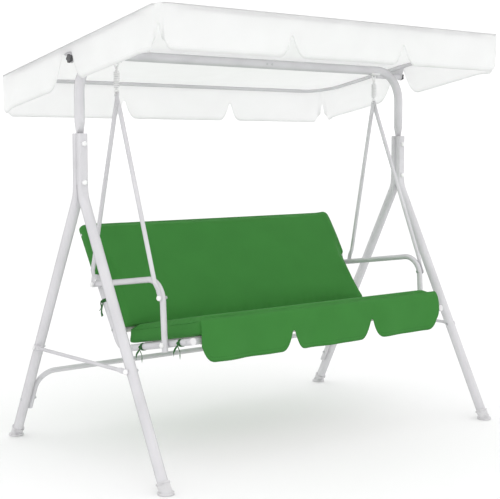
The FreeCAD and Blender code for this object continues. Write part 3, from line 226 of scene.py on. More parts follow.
# %% Woven cloth
def woven_cloth(name, colour, shade_colour, thread, weave_strength, sheen, roughness, crumple, sag_noise):
    material, tree, shader, place = start_material(name)
    slant = add_node(tree, "ShaderNodeMapping", {"Vector": place, "Rotation": (math.radians(45), 0, 0)})
    warp = add_node(tree, "ShaderNodeTexWave", {"Vector": place, "Scale": math.pi / 10 / thread,
                                                "Distortion": 0.4,
                                                "Detail": 0.0}, bands_direction="X")
    weft = add_node(tree, "ShaderNodeTexWave", {"Vector": slant.outputs["Vector"],
                                                "Scale": math.pi / 10 / thread,
                                                "Distortion": 0.4, "Detail": 0.0}, bands_direction="Z")
    weave = add_node(tree, "ShaderNodeMath", {0: warp.outputs["Fac"], 1: weft.outputs["Fac"]},
                     operation="MULTIPLY")
    slow = add_node(tree, "ShaderNodeTexNoise", {"Vector": place, "Scale": 1 / sag_noise, "Detail": 3.0})
    mix = add_node(tree, "ShaderNodeMath", {0: weave.outputs["Value"], 1: 0.25, 2: slow.outputs["Fac"]},
                   operation="MULTIPLY_ADD")
    spread = add_node(tree, "ShaderNodeMapRange", {"Value": mix.outputs["Value"], "From Min": 0.35,
                                                   "From Max": 0.85})
    tint = add_node(tree, "ShaderNodeMix", {"Factor": spread.outputs["Result"], "A": linear(shade_colour),
                                            "B": linear(colour)}, data_type="RGBA")
    tree.links.new(tint.outputs["Result"], shader.inputs["Base Color"])
    soft = add_node(tree, "ShaderNodeBump", {"Height": slow.outputs["Fac"], "Strength": crumple,
                                             "Distance": 6 * MM})
    bump = add_node(tree, "ShaderNodeBump", {"Height": weave.outputs["Value"], "Strength": weave_strength,
                                             "Distance": 0.4 * MM, "Normal": soft.outputs["Normal"]})
    tree.links.new(bump.outputs["Normal"], shader.inputs["Normal"])
    shader.inputs["Roughness"].default_value = roughness
    shader.inputs["Sheen Weight"].default_value = sheen
    shader.inputs["Sheen Roughness"].default_value = 0.5
    shader.inputs["Specular IOR Level"].default_value = 0.25
    return material


canopy_cloth = woven_cloth("coated_polyester_white", "#fbfbfb", "#f3f3f3", 2.2 * MM, 0.10, 0.05, 0.7, 0.08,
                           90 * MM)
cushion_cloth = woven_cloth("woven_polyester_green", "#3b8037", "#387b34", 2.6 * MM, 0.28, 0.02, 0.9, 0.08,
                            110 * MM)
tie_cloth = woven_cloth("ribbon_dark_green", "#2e6a30", "#245726", 1.6 * MM, 0.35, 0.10, 0.8, 0.2, 20 * MM)
sling_cloth = woven_cloth("sling_weave_pale", "#e2e1de", "#d4d3cf", 4.0 * MM, 0.5, 0.05, 0.85, 0.1,
                          120 * MM)


# %% [markdown]
# ## Light through the canopy
# Thin white cloth lets part of the daylight through, so the canopy glows from below instead of looking
# dark. The cloth's shader is mixed with a translucent one, which passes light straight to the other side.

# %% Light through the canopy
THROUGH = 0.6
tree = canopy_cloth.node_tree
shader = tree.nodes["Principled BSDF"]
glow = add_node(tree, "ShaderNodeBsdfTranslucent", {"Color": linear("#ffffff")})
blend = add_node(tree, "ShaderNodeMixShader", {0: THROUGH, 1: shader.outputs["BSDF"],
                                               2: glow.outputs["BSDF"]})
tree.links.new(blend.outputs["Shader"], tree.nodes["Material Output"].inputs["Surface"])
print("cloths ready")

# %% [markdown]
# ## Finishes on the model's own pieces
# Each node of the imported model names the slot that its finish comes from, so one table is enough to give
# every tube, bolt and plug its material.

# %% Finishes on the model's own pieces
FINISHES = {
    "frame_paint": pale_coat, "white_steel": white_coat, "zinc_steel": zinc_plate,
    "shoe_plastic": shoe_plastic, "cap_plastic": cap_plastic, "plug_plastic": plug_plastic,
    "knob_plastic": knob_plastic, "canopy_cloth": canopy_cloth, "sling_cloth": sling_cloth,
    "cushion_cloth": cushion_cloth, "tie_cloth": tie_cloth,
}
node_slots = {row["node"]: row["material_slot"] for row in frame["record"]["subparts"]}
for node_name, node in frame["nodes"].items():
    for material_slot in node.material_slots:
        material_slot.material = FINISHES[node_slots[node_name]]
print("finished nodes:", len(node_slots))

# %% [markdown]
# ## Helpers for new pieces
# A finished piece keeps its place in its mesh, with its object at the origin, as the model's own nodes
# do. The helper below makes a piece from points and faces, smooths its shading and gives it its material.
# A second one says which body a piece moves with and which node it stands for.

# %% Helpers for new pieces
def clear_selection():
    for thing in bpy.context.view_layer.objects:
        thing.select_set(False)


def make_active(piece):
    clear_selection()
    piece.select_set(True)
    bpy.context.view_layer.objects.active = piece


def add_modifier(piece, kind, **settings):
    """Adds a modifier, sets it up and applies it."""
    make_active(piece)
    modifier = piece.modifiers.new(kind.lower(), kind)
    for name, value in settings.items():
        setattr(modifier, name, value)
    bpy.ops.object.modifier_apply(modifier=modifier.name)


def piece_from(name, points, faces, material):
    mesh = bpy.data.meshes.new(name)
    mesh.from_pydata(points, [], faces)
    mesh.update()
    piece = bpy.data.objects.new(name, mesh)
    bpy.context.scene.collection.objects.link(piece)
    mesh.materials.append(material)
    mesh.shade_smooth()
    return piece


def settle(piece, body, slot, *nodes):
    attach(piece, body)
    if nodes:
        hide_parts(*nodes)
    print(piece.name, "rides on", body, "faces", len(piece.data.polygons))


def smooth_step(value):
    value = min(max(value, 0.0), 1.0)
    return value * value * (3 - 2 * value)


# %% [markdown]
# ## Lobed hems
# The valances and the skirt end in lobes with rounded corners, parted by narrow notches. One function
# gives how far the hem rises at a distance from a notch's middle. Another lists where a sheet needs its
# upright lines: far apart on the plain stretches and close together at the notches, where the hem is
# steep.

# %% Lobed hems
def notch_rise(offset, half_width, crown, height, steepness):
    """Rise of the hem at a distance from the notch's middle: full at the crown, none past the half-width."""
    away = abs(offset)
    if away >= half_width:
        return 0.0
    if away <= crown:
        return height * (1 - 0.05 * (away / max(crown, 1e-6)) ** 2)
    return height * 0.95 * ((half_width - away) / (half_width - crown)) ** steepness


def line_places(low, high, notches, plain_step=0.024, fine_step=0.0022):
    """Places of upright lines between two ends; each notch is (middle, half-width)."""
    places = [low]
    while places[-1] < high - 1e-6:
        here = places[-1]
        near = min([abs(here - middle) / half for middle, half in notches] + [2.0])
        if near <= 0.45:
            step = fine_step
        elif near <= 1.05:
            step = 2.5 * fine_step
        else:
            ahead = [middle - half - here for middle, half in notches if middle - half > here]
            step = min([plain_step] + [max(gap, fine_step) for gap in ahead])
        places.append(min(here + step, high))
    return places


print("lines over a metre with one notch:", len(line_places(-0.5, 0.5, [(0.0, 0.05)])))

# %% [markdown]
# ## Canopy cover
# The cover is one sheet of coated cloth. It lies over two U-shaped rails, sags a little between them,
# turns down over them with a soft edge and hangs as a valance. The valance has three lobes at the front
# and the rear and two on each side, where a wide notch leaves room for the tilt knob. A flat grid of
# lines, close together at the notches, carries on over the edge into the valance, so the cloth stays one
# surface. Solidify then gives it its thickness. Its flat size is the top plus the drop on all sides.

# %% Canopy cover
CANOPY_SLOPE = math.tan(math.radians(10.25))
CLOTH_T = 1.6 * MM
EDGE_R = 0.012
VALANCE_DROP = 0.151
SIDE_DROP = 0.140
CORNER_R = 0.020
CANOPY_SAG = 0.008
NOTCH = {"half_width": 0.068, "crown": 0.006, "height": 0.074, "steepness": 2.7}
SIDE_NOTCH = {"half_width": 0.122, "crown": 0.034, "height": 0.114, "steepness": 2.3}
CORNER_SLIT = {"half_width": 0.052, "crown": 0.003, "height": 0.085, "steepness": 2.0}
SIDE_NOTCH_Y = 0.030
CORNER_TUCK = 0.010
TUCK_SPAN = 0.12

canopy_low, canopy_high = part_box("canopy_cover")
half_x = canopy_high.x - CLOTH_T / 2
front_y = canopy_low.y + CLOTH_T / 2
rear_y = canopy_high.y - CLOTH_T / 2
middle_y = (front_y + rear_y) / 2
half_y = (rear_y - front_y) / 2


def canopy_top_z(x, y):
    """Height of the sagging top at a place."""
    plane = canopy_high.z - CLOTH_T / 2 - (y - canopy_low.y) * CANOPY_SLOPE
    across = 1 - (x / half_x) ** 2
    along = 1 - ((y - middle_y) / half_y) ** 2
    ripple = 0.0007 * math.sin(x * 21 + 1.3 * math.sin(y * 9)) * math.sin(y * 17 + 0.6)
    hollow = max(across, 0) ** 0.5 * max(along, 0) ** 0.5
    return plane - CANOPY_SAG * hollow + ripple * hollow


def rounded_corner(x, y, reach):
    """Moves a point of the rectangle's outline, pushed out by reach, onto a rounded corner."""
    core_x = half_x - CORNER_R
    core_y = half_y - CORNER_R
    dx = max(abs(x) - core_x, 0.0)
    dy = max(abs(y - middle_y) - core_y, 0.0)
    if dx == 0.0 or dy == 0.0:
        return x + math.copysign(reach, x) * (dx > 0), y + math.copysign(reach, y - middle_y) * (dy > 0)
    size = math.hypot(dx, dy)
    radius = CORNER_R + reach
    return (math.copysign(core_x + radius * dx / size, x),
            middle_y + math.copysign(core_y + radius * dy / size, y - middle_y))


def hem_rise(x, y, on_side):
    """Rise of the valance's hem above its full drop."""
    from_corner = half_y - abs(y - middle_y) if on_side else half_x - abs(x)
    rise = notch_rise(from_corner, **CORNER_SLIT)
    if on_side:
        return max(rise, notch_rise(y - SIDE_NOTCH_Y, **SIDE_NOTCH) + (VALANCE_DROP - SIDE_DROP)
                   * smooth_step((from_corner - 0.02) / 0.08))
    return max([rise] + [notch_rise(x - middle, **NOTCH) for middle in (-half_x / 3, half_x / 3)])


corner_zone = CORNER_SLIT["half_width"]
notch_zone = NOTCH["half_width"]
x_lines = line_places(-half_x, half_x, [(-half_x, corner_zone), (half_x, corner_zone),
                                        (-half_x / 3, notch_zone), (half_x / 3, notch_zone)])
y_lines = line_places(front_y, rear_y, [(front_y, corner_zone), (rear_y, corner_zone),
                                        (SIDE_NOTCH_Y, SIDE_NOTCH["half_width"])])
VALANCE_ROWS = 9
EDGE_ROWS = 3


def outline_of(columns, rows):
    """Walks round the grid's rim and gives (column, row, on a side edge)."""
    walk = [(i, 0, False) for i in range(columns)] + [(columns - 1, j, True) for j in range(1, rows)]
    walk += [(i, rows - 1, False) for i in range(columns - 2, -1, -1)]
    return walk + [(0, j, True) for j in range(rows - 2, 0, -1)]


def canopy_points():
    """Points and faces of the sheet, with the distance of each point from the hem."""
    columns = len(x_lines)
    rows = len(y_lines)
    points = []
    from_hem = []
    inner_x = half_x - EDGE_R
    inner_y = half_y - EDGE_R
    for y in y_lines:
        for x in x_lines:
            sx = x * inner_x / half_x
            sy = middle_y + (y - middle_y) * inner_y / half_y
            points.append((sx, sy, canopy_top_z(x, y)))
            from_hem.append(1.0)
    faces = [(j * columns + i, j * columns + i + 1, (j + 1) * columns + i + 1, (j + 1) * columns + i)
             for j in range(rows - 1) for i in range(columns - 1)]
    walk = outline_of(columns, rows)
    above = [j * columns + i for i, j, _ in walk]
    for step in range(1, EDGE_ROWS + VALANCE_ROWS + 1):
        start = len(points)
        for i, j, on_side in walk:
            x = x_lines[i]
            y = y_lines[j]
            rim_z = canopy_top_z(x, y)
            if step <= EDGE_ROWS:
                turn = math.pi / 2 * step / EDGE_ROWS
                reach = EDGE_R * (math.sin(turn) - 1)
                px, py = rounded_corner(x, y, reach)
                points.append((px, py, rim_z - EDGE_R * (1 - math.cos(turn))))
                from_hem.append(0.5)
                continue
            share = (step - EDGE_ROWS) / VALANCE_ROWS
            drop = VALANCE_DROP - hem_rise(x, y, on_side)
            down = EDGE_R + (drop - EDGE_R) * share
            wave = 0.0035 * (1 + math.sin((x + 0.7 * y) * 19 + (0 if on_side else 1.1)))
            lean = wave * (down / VALANCE_DROP) ** 1.5
            from_corner = half_y - abs(y - middle_y) if on_side else half_x - abs(x)
            tuck = CORNER_TUCK * smooth_step(1 - from_corner / TUCK_SPAN)
            px, py = rounded_corner(x, y, lean - tuck * (down / VALANCE_DROP) ** 2)
            points.append((px, py, rim_z - down))
            from_hem.append(drop * (1 - share))
        count = len(walk)
        for k in range(count):
            nxt = (k + 1) % count
            faces.append((above[k], start + k, start + nxt, above[nxt]))
        above = list(range(start, start + count))
    return points, faces, from_hem


points, faces, from_hem = canopy_points()
canopy = piece_from("canopy_sheet", points, faces, canopy_cloth)
print("canopy sheet", len(points), "points")

# %% [markdown]
# ## Hems that can be seen
# A hem is the edge folded over and stitched. Each point of a sheet keeps its distance from the edge as
# the second value of a map, and the cloth's material draws the stitch line and the doubled cloth from
# that map.

# %% Hems that can be seen
HEM_WIDTH = 0.016
STITCH_PITCH = 0.009


def map_hem(piece, distances, along):
    """UV map in metres: along the edge, and up from the edge."""
    layer = piece.data.uv_layers.new(name="hem")
    for loop in piece.data.loops:
        index = loop.vertex_index
        layer.data[loop.index].uv = (along(piece.data.vertices[index].co), distances[index])


def sew_hem(material, thread_colour):
    """Adds a stitched hem to a cloth: a darker thread line, and a bump where the cloth is doubled."""
    tree = material.node_tree
    shader = tree.nodes["Principled BSDF"]
    where = add_node(tree, "ShaderNodeUVMap", uv_map="hem")
    parts = add_node(tree, "ShaderNodeSeparateXYZ", {"Vector": where.outputs["UV"]})
    edge = parts.outputs["Y"]
    off = add_node(tree, "ShaderNodeMath", {0: edge, 1: HEM_WIDTH}, operation="SUBTRACT")
    near = add_node(tree, "ShaderNodeMath", {0: off.outputs["Value"]}, operation="ABSOLUTE")
    line = add_node(tree, "ShaderNodeMapRange", {"Value": near.outputs["Value"], "From Min": 0.0,
                                                 "From Max": 1.6 * MM, "To Min": 1.0, "To Max": 0.0})
    dash = add_node(tree, "ShaderNodeMath", {0: parts.outputs["X"], 1: 2 * math.pi / STITCH_PITCH},
                    operation="MULTIPLY")
    wave = add_node(tree, "ShaderNodeMath", {0: dash.outputs["Value"]}, operation="SINE")
    gap = add_node(tree, "ShaderNodeMapRange", {"Value": wave.outputs["Value"], "From Min": -0.6,
                                                "From Max": -0.2})
    thread = add_node(tree, "ShaderNodeMath", {0: line.outputs["Result"], 1: gap.outputs["Result"]},
                      operation="MULTIPLY")
    old_colour = shader.inputs["Base Color"].links[0].from_socket
    tint = add_node(tree, "ShaderNodeMix", {"Factor": thread.outputs["Value"], "A": old_colour,
                                            "B": linear(thread_colour)}, data_type="RGBA")
    tree.links.new(tint.outputs["Result"], shader.inputs["Base Color"])
    fold = add_node(tree, "ShaderNodeMapRange", {"Value": off.outputs["Value"], "From Min": -1.5 * MM,
                                                 "From Max": 1.5 * MM, "To Min": 1.0, "To Max": 0.0})
    old_normal = shader.inputs["Normal"].links[0].from_socket
    bump = add_node(tree, "ShaderNodeBump", {"Height": fold.outputs["Result"], "Strength": 0.6,
                                             "Distance": 0.8 * MM, "Normal": old_normal})
    tree.links.new(bump.outputs["Normal"], shader.inputs["Normal"])


sew_hem(canopy_cloth, "#dedede")
map_hem(canopy, from_hem, lambda point: point.x + point.y)
add_modifier(canopy, "SOLIDIFY", thickness=CLOTH_T, offset=0.0)
settle(canopy, "canopy", "canopy_cloth", "canopy_cover")

# %% [markdown]
# ## Binding on the canopy's upper edge
# Where the top meets the valance, a thin binding is sewn in. It is a bead that follows the edge, so it is
# swept round the rim on a curve and then made a mesh.

# %% Binding on the canopy's upper edge
def bead(name, path, radius, material, closed=False):
    """A round bead along a path, as a mesh."""
    curve = bpy.data.curves.new(name, "CURVE")
    curve.dimensions = "3D"
    curve.bevel_depth = radius
    curve.bevel_resolution = 2
    spline = curve.splines.new("POLY")
    spline.points.add(len(path) - 1)
    for point, place in zip(spline.points, path):
        point.co = (*place, 1.0)
    spline.use_cyclic_u = closed
    curve.use_fill_caps = not closed
    holder = bpy.data.objects.new(name, curve)
    bpy.context.scene.collection.objects.link(holder)
    make_active(holder)
    bpy.ops.object.convert(target="MESH")
    piece = bpy.context.view_layer.objects.active
    piece.data.materials.clear()
    piece.data.materials.append(material)
    piece.data.shade_smooth()
    return piece


rim = []
for i, j, _ in outline_of(len(x_lines), len(y_lines)):
    px, py = rounded_corner(x_lines[i], y_lines[j], -EDGE_R * 0.25)
    rim.append((px, py, canopy_top_z(x_lines[i], y_lines[j]) - EDGE_R * 0.27))
binding = bead("canopy_binding", rim, 1.7 * MM, canopy_cloth, closed=True)
settle(binding, "canopy", "canopy_cloth")

# %% [markdown]
# ## The seat's own measures
# Seat and back are two straight runs of tube that meet at a knee. Every soft piece on them is placed by
# how far it lies along a run, and how far it stands off it, so two small functions turn those into
# places.

# %% The seat's own measures
KNEE_Y = 0.026
KNEE_Z = 0.387
SEAT_SLOPE = math.radians(11.0)
BACK_RECLINE = math.radians(31.0)
TUBE_R = 0.0125


def seat_place(x, s, n):
    """s forward of the knee along the seat rail, n above it."""
    return Vector((x, KNEE_Y - s * math.cos(SEAT_SLOPE) + n * math.sin(SEAT_SLOPE),
                   KNEE_Z + s * math.sin(SEAT_SLOPE) + n * math.cos(SEAT_SLOPE)))


def back_place(x, s, n):
    """s up the back rail from the knee, n in front of it."""
    return Vector((x, KNEE_Y + s * math.sin(BACK_RECLINE) - n * math.cos(BACK_RECLINE),
                   KNEE_Z + s * math.cos(BACK_RECLINE) + n * math.sin(BACK_RECLINE)))


seat_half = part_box("seat_cushion")[1].x
sleeve_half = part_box("back_cushion")[1].x
print("seat half-width", round(seat_half, 3), "sleeve half-width", round(sleeve_half, 3))

# %% [markdown]
# ## Puffing up a cushion
# A cushion is a sewn cover with a filling that pushes out. The cloth solver does the same: the plain slab
# is remeshed into even squares, air pressure swells it, and the result is kept. A cap on how far each
# point may move keeps the slab's size, and lets the underside stay flat where it rests on its sling. A
# light smoothing takes out the steps that remeshing leaves.

# %% Puffing up a cushion
PUFF_FRAMES = 20


def puff(piece, voxel, pressure, cap):
    add_modifier(piece, "REMESH", mode="VOXEL", voxel_size=voxel, use_smooth_shade=True)
    add_modifier(piece, "SMOOTH", factor=0.5, iterations=6)
    rest = [vertex.co.copy() for vertex in piece.data.vertices]
    make_active(piece)
    cloth = piece.modifiers.new("puff", "CLOTH")
    cloth.settings.quality = 4
    cloth.settings.mass = 0.3
    cloth.settings.tension_stiffness = 12
    cloth.settings.compression_stiffness = 12
    cloth.settings.shear_stiffness = 4
    cloth.settings.bending_stiffness = 0.6
    cloth.settings.use_pressure = True
    cloth.settings.uniform_pressure_force = pressure
    cloth.settings.effector_weights.gravity = 0.0
    cloth.point_cache.frame_start = 1
    cloth.point_cache.frame_end = PUFF_FRAMES
    for number in range(1, PUFF_FRAMES + 1):
        bpy.context.scene.frame_set(number)
    bpy.ops.object.modifier_apply(modifier="puff")
    bpy.context.scene.frame_set(1)
    for vertex, before in zip(piece.data.vertices, rest):
        moved = vertex.co - before
        limit = cap(before)
        if moved.length > limit:
            vertex.co = before + moved * (limit / moved.length)
    add_modifier(piece, "SMOOTH", factor=0.5, iterations=5)


def block(name, corners, half_width, bevel, material):
    """A slab from its side outline: a cube primitive whose corners are moved, with bevelled edges."""
    clear_selection()
    bpy.ops.mesh.primitive_cube_add(size=1.0)
    piece = bpy.context.view_layer.objects.active
    piece.name = name
    piece.data.name = name
    for vertex in piece.data.vertices:
        index = (0 if vertex.co.y < 0 else 1) if vertex.co.z < 0 else (3 if vertex.co.y < 0 else 2)
        place = corners[index]
        vertex.co = (half_width if vertex.co.x > 0 else -half_width, place.y, place.z)
    bpy.ops.object.mode_set(mode="EDIT")
    bpy.ops.mesh.select_all(action="SELECT")
    bpy.ops.mesh.normals_make_consistent(inside=False)
    bpy.ops.mesh.bevel(offset=bevel, segments=3)
    bpy.ops.object.mode_set(mode="OBJECT")
    piece.data.materials.clear()
    piece.data.materials.append(material)
    return piece


# %% [markdown]
# ## Seat cushion
# One long pad between the two seat rails. It starts a little smaller than its final size, because the
# pressure swells it. Its underside rests on the sling, so it may hardly move there, and its top crowns
# gently.

# %% Seat cushion
PAD_UNDER = TUBE_R + 0.0033
SEAT_TOP = PAD_UNDER + 0.057
SEAT_FRONT_Y = seat_place(0, 0.4675, SEAT_TOP).y
INSET = 0.005
PAD_BEVEL = 0.008


def seat_front(n, inset):
    s = (KNEE_Y + n * math.sin(SEAT_SLOPE) - SEAT_FRONT_Y - inset) / math.cos(SEAT_SLOPE)
    return seat_place(0, s, n)


seat_pad = block("seat_pad", [seat_front(PAD_UNDER + 0.001, INSET), seat_place(0, 0.003, PAD_UNDER + 0.001),
                              seat_place(0, 0.003, SEAT_TOP - 0.003), seat_front(SEAT_TOP - 0.003, INSET)],
                 seat_half + 0.001, PAD_BEVEL, cushion_cloth)


def seat_depth(point):
    """How high a point stands over the seat rail's line."""
    return (point.y - KNEE_Y) * math.sin(SEAT_SLOPE) + (point.z - KNEE_Z) * math.cos(SEAT_SLOPE)


def seat_cap(point):
    rise = (seat_depth(point) - PAD_UNDER) / (SEAT_TOP - PAD_UNDER)
    return 0.0015 + 0.0125 * smooth_step(rise)


puff(seat_pad, 0.006, 4.0, seat_cap)
settle(seat_pad, "seat", "cushion_cloth", "seat_cushion")

# %% [markdown]
# ## Back cushion
# The back's cover is a pad in front of the tubes and, over its upper half, a sleeve pulled down over the
# frame. Both are one closed form here: a slab for the pad and a second slab round the tubes' upper ends.
# Remeshing joins them, and the pressure rounds them together.

# %% Back cushion
PAD_TOP = 0.513
SLEEVE_FROM = 0.300
BACK_FRONT = 0.062
BACK_TOP_FRONT = 0.034
SLEEVE_REAR = -(TUBE_R + 0.0063)


def back_seam_s(n):
    """Where the back cushion's underside meets the seat cushion's top."""
    rise = SEAT_TOP + 0.001 - seat_depth(back_place(0, 0, n))
    gain = math.sin(SEAT_SLOPE) * math.sin(BACK_RECLINE) + math.cos(SEAT_SLOPE) * math.cos(BACK_RECLINE)
    return rise / gain


SEAM_ROOM = 0.002
pad_half = sleeve_half - 0.0215
back_pad = block("back_pad", [back_place(0, back_seam_s(BACK_FRONT) + SEAM_ROOM, BACK_FRONT - INSET),
                              back_place(0, back_seam_s(PAD_UNDER) + SEAM_ROOM, PAD_UNDER),
                              back_place(0, PAD_TOP + 0.001, PAD_UNDER - 0.010),
                              back_place(0, PAD_TOP + 0.001, BACK_TOP_FRONT - 0.002)],
                 pad_half - INSET, PAD_BEVEL, cushion_cloth)
sleeve = block("back_sleeve", [back_place(0, SLEEVE_FROM, PAD_UNDER + 0.022),
                               back_place(0, SLEEVE_FROM, SLEEVE_REAR + 0.003),
                               back_place(0, PAD_TOP + 0.001, SLEEVE_REAR + 0.003),
                               back_place(0, PAD_TOP + 0.001, BACK_TOP_FRONT - 0.012)],
               sleeve_half - 0.004, 0.010, cushion_cloth)
make_active(back_pad)
sleeve.select_set(True)
bpy.ops.object.join()


def back_stand(point):
    """How far a point stands in front of the back rail's line."""
    return (KNEE_Y - point.y) * math.cos(BACK_RECLINE) + (point.z - KNEE_Z) * math.sin(BACK_RECLINE)


def back_cap(point):
    held = 0.25 + 0.75 * smooth_step((seat_depth(point) - SEAT_TOP) / 0.08)
    return 0.0015 + 0.0115 * held * smooth_step((back_stand(point) - 0.012) / 0.03)


puff(back_pad, 0.006, 4.0, back_cap)


def gather(piece):
    """Small gathers where the back's lower edge is drawn in against the seat."""
    for vertex in piece.data.vertices:
        point = vertex.co
        over_seam = max(seat_depth(point) - SEAT_TOP, 0.0)
        if over_seam > 0.09 or back_stand(point) < PAD_UNDER:
            continue
        fade = math.exp(-over_seam / 0.026)
        middle = 0.35 + 0.65 * math.exp(-((point.x - 0.05) / 0.22) ** 2)
        fold = math.sin(point.x * 118 + 2.2 * math.sin(point.x * 17)) * math.sin(point.x * 41 + 0.7)
        vertex.co = point + Vector((0, 0.55, -0.2)) * (0.009 * fade * middle * max(fold, -0.3))


gather(back_pad)
settle(back_pad, "seat", "cushion_cloth", "back_cushion")

# %% [markdown]
# ## Seams on the cushions
# A cover is cut from flat panels, so a sewn seam runs round each panel. The seam is a fine bead laid on
# the puffed surface: the helper walks the panel's outline, finds the nearest point of the cushion at each
# step and sets the bead there.

# %% Seams on the cushions
def seam_on(piece, name, corners, radius):
    """A fine bead along straight runs between corners, dropped onto the piece's surface."""
    path = []
    for start, end in zip(corners, corners[1:] + corners[:1]):
        steps = max(int((end - start).length / 0.012), 2)
        for step in range(steps):
            target = start.lerp(end, step / steps)
            _, place, normal, _ = piece.closest_point_on_mesh(target)
            path.append(place + normal * (radius * 0.2))
    smoothed = [(path[i - 1] + path[i] * 2 + path[(i + 1) % len(path)]) / 4 for i in range(len(path))]
    seam = bead(name, smoothed, radius, cushion_cloth, closed=True)
    settle(seam, "seat", "cushion_cloth")


SEAM_R = 1.6 * MM
seat_rear_seam = 0.010
seat_front_seam = 0.462
seam_low = back_seam_s(BACK_FRONT) + 0.012
seam_flare = 0.006
seam_on(seat_pad, "seat_pad_seam",
        [seat_place(seat_half, seat_rear_seam, SEAT_TOP), seat_place(-seat_half, seat_rear_seam, SEAT_TOP),
         seat_place(-seat_half, seat_front_seam, SEAT_TOP),
         seat_place(seat_half, seat_front_seam, SEAT_TOP)],
        SEAM_R)
seam_on(back_pad, "back_pad_seam",
        [back_place(-pad_half, seam_low, BACK_FRONT), back_place(pad_half, seam_low, BACK_FRONT),
         back_place(pad_half + seam_flare, PAD_TOP, BACK_TOP_FRONT),
         back_place(-pad_half - seam_flare, PAD_TOP, BACK_TOP_FRONT)],
        SEAM_R)
print("seams laid")

# %% [markdown]
# ## Skirt
# The skirt hangs from the seat cushion's front edge in three lobes. It is one sheet, so it is a grid
# whose lower edge follows the lobes, with slow waves that grow towards the hem. The upper rows bend back
# over the cushion's edge, where the real one is sewn on.

# %% Skirt
skirt_low, skirt_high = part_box("front_skirt")
SKIRT_NOTCHES = (-0.182, 0.228)
SKIRT_NOTCH = {"half_width": 0.066, "crown": 0.006, "height": 0.074, "steepness": 2.9}
SKIRT_END = {"half_width": 0.062, "crown": 0.0, "height": 0.062, "steepness": 2.6}
SKIRT_T = 1.8 * MM
SKIRT_ROWS = 12
skirt_half = skirt_high.x
skirt_drop = skirt_high.z - skirt_low.z
skirt_y = skirt_low.y + 0.001
skirt_zones = [(middle, SKIRT_NOTCH["half_width"]) for middle in SKIRT_NOTCHES]
skirt_zones += [(-skirt_half, SKIRT_END["half_width"]), (skirt_half, SKIRT_END["half_width"])]
skirt_lines = line_places(-skirt_half, skirt_half, skirt_zones, plain_step=0.018)


def skirt_points():
    points = []
    from_edge = []
    for row in range(SKIRT_ROWS + 1):
        share = row / SKIRT_ROWS
        for x in skirt_lines:
            rise = max([notch_rise(x - middle, **SKIRT_NOTCH) for middle in SKIRT_NOTCHES]
                       + [notch_rise(skirt_half - abs(x), **SKIRT_END)])
            drop = (skirt_drop - rise) * share
            depth = drop / skirt_drop
            wave = 0.0045 * math.sin(x * 23 + 0.5) + 0.0030 * math.sin(x * 41 + 2.0)
            swell = math.sin(math.pi * min(depth * 1.3, 1.0))
            bulge = 0.010 * smooth_step(1 - (skirt_half - x) / 0.10) * swell
            turn = 0.012 * math.exp(-drop / 0.012)
            points.append((x + bulge, skirt_y - (0.004 + wave) * depth ** 1.3 + turn, skirt_high.z - drop
                           - 0.003 * math.exp(-drop / 0.02)))
            from_edge.append((skirt_drop - rise) * (1 - share))
    columns = len(skirt_lines)
    faces = [(r * columns + c, (r + 1) * columns + c, (r + 1) * columns + c + 1, r * columns + c + 1)
             for r in range(SKIRT_ROWS) for c in range(columns - 1)]
    return points, faces, from_edge


points, faces, from_edge = skirt_points()
skirt_cloth = cushion_cloth.copy()
skirt_cloth.name = "woven_polyester_green_hemmed"
sew_hem(skirt_cloth, "#2f6b2d")
skirt = piece_from("skirt_sheet", points, faces, skirt_cloth)
map_hem(skirt, from_edge, lambda point: point.x)
add_modifier(skirt, "SOLIDIFY", thickness=SKIRT_T, offset=0.0)
settle(skirt, "seat", "cushion_cloth", "front_skirt")

# %% [markdown]
# ## Slings
# Under each cushion, a panel of heavy cloth is stretched between two rails, with a sewn loop round each
# rail. Its side view is a run between two circles, so the path is a loop, a straight run and a loop,
# drawn out over the bench's width. Small scallops of strain at the edges show that it is pulled tight.

# %% Slings
SLING_T = 1.4 * MM


def sling_sheet(name, first, second, lift, node):
    """Cloth from a loop round the first rail to a loop round the second; lift is the panel's side."""
    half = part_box(node)[1].x
    radius = TUBE_R + 0.0003 + SLING_T
    along = (second - first).normalized()
    path = []
    for step in range(15):
        angle = math.radians(300 - step * 300 / 14)
        path.append(first + lift * (radius * math.cos(angle)) - along * (radius * math.sin(angle)))
    runs = 18
    for step in range(1, runs):
        path.append(first.lerp(second, step / runs) + lift * radius)
    for step in range(15):
        angle = math.radians(step * 300 / 14)
        path.append(second + lift * (radius * math.cos(angle)) + along * (radius * math.sin(angle)))
    columns = 49
    points = []
    for place in path:
        for column in range(columns):
            x = -half + 2 * half * column / (columns - 1)
            pull = 0.004 * smooth_step(1 - (half - abs(x)) / 0.08)
            inside = min((place - first).length, (place - second).length) > 2 * radius
            points.append((x - math.copysign(pull, x) * inside, place.y, place.z))
    faces = [(r * columns + c, r * columns + c + 1, (r + 1) * columns + c + 1, (r + 1) * columns + c)
             for r in range(len(path) - 1) for c in range(columns - 1)]
    sheet = piece_from(name, points, faces, sling_cloth)
    add_modifier(sheet, "SOLIDIFY", thickness=SLING_T, offset=0.0)
    settle(sheet, "seat", "sling_cloth", node)


seat_up = (seat_place(0, 0, 1) - seat_place(0, 0, 0)).normalized()
back_out = (back_place(0, 0, 1) - back_place(0, 0, 0)).normalized()
sling_sheet("seat_sling_sheet", seat_place(0, 0.092, 0), seat_place(0, 0.428, 0), seat_up, "seat_sling")
sling_sheet("back_sling_sheet", back_place(0, 0.078, 0), back_place(0, 0.476, 0), back_out, "back_sling")

# %% [markdown]
# ## Ties
# Dark green ribbons are sewn to the covers and tied round the tubes. A ribbon is a flat band. Round the
# tube it is a short open cylinder given thickness, the knot is a squashed ball, and the tails are narrow
# strips that curl as they hang. One tie is modelled and copied to each place.

# %% Ties
TIE_WIDTH = 0.014


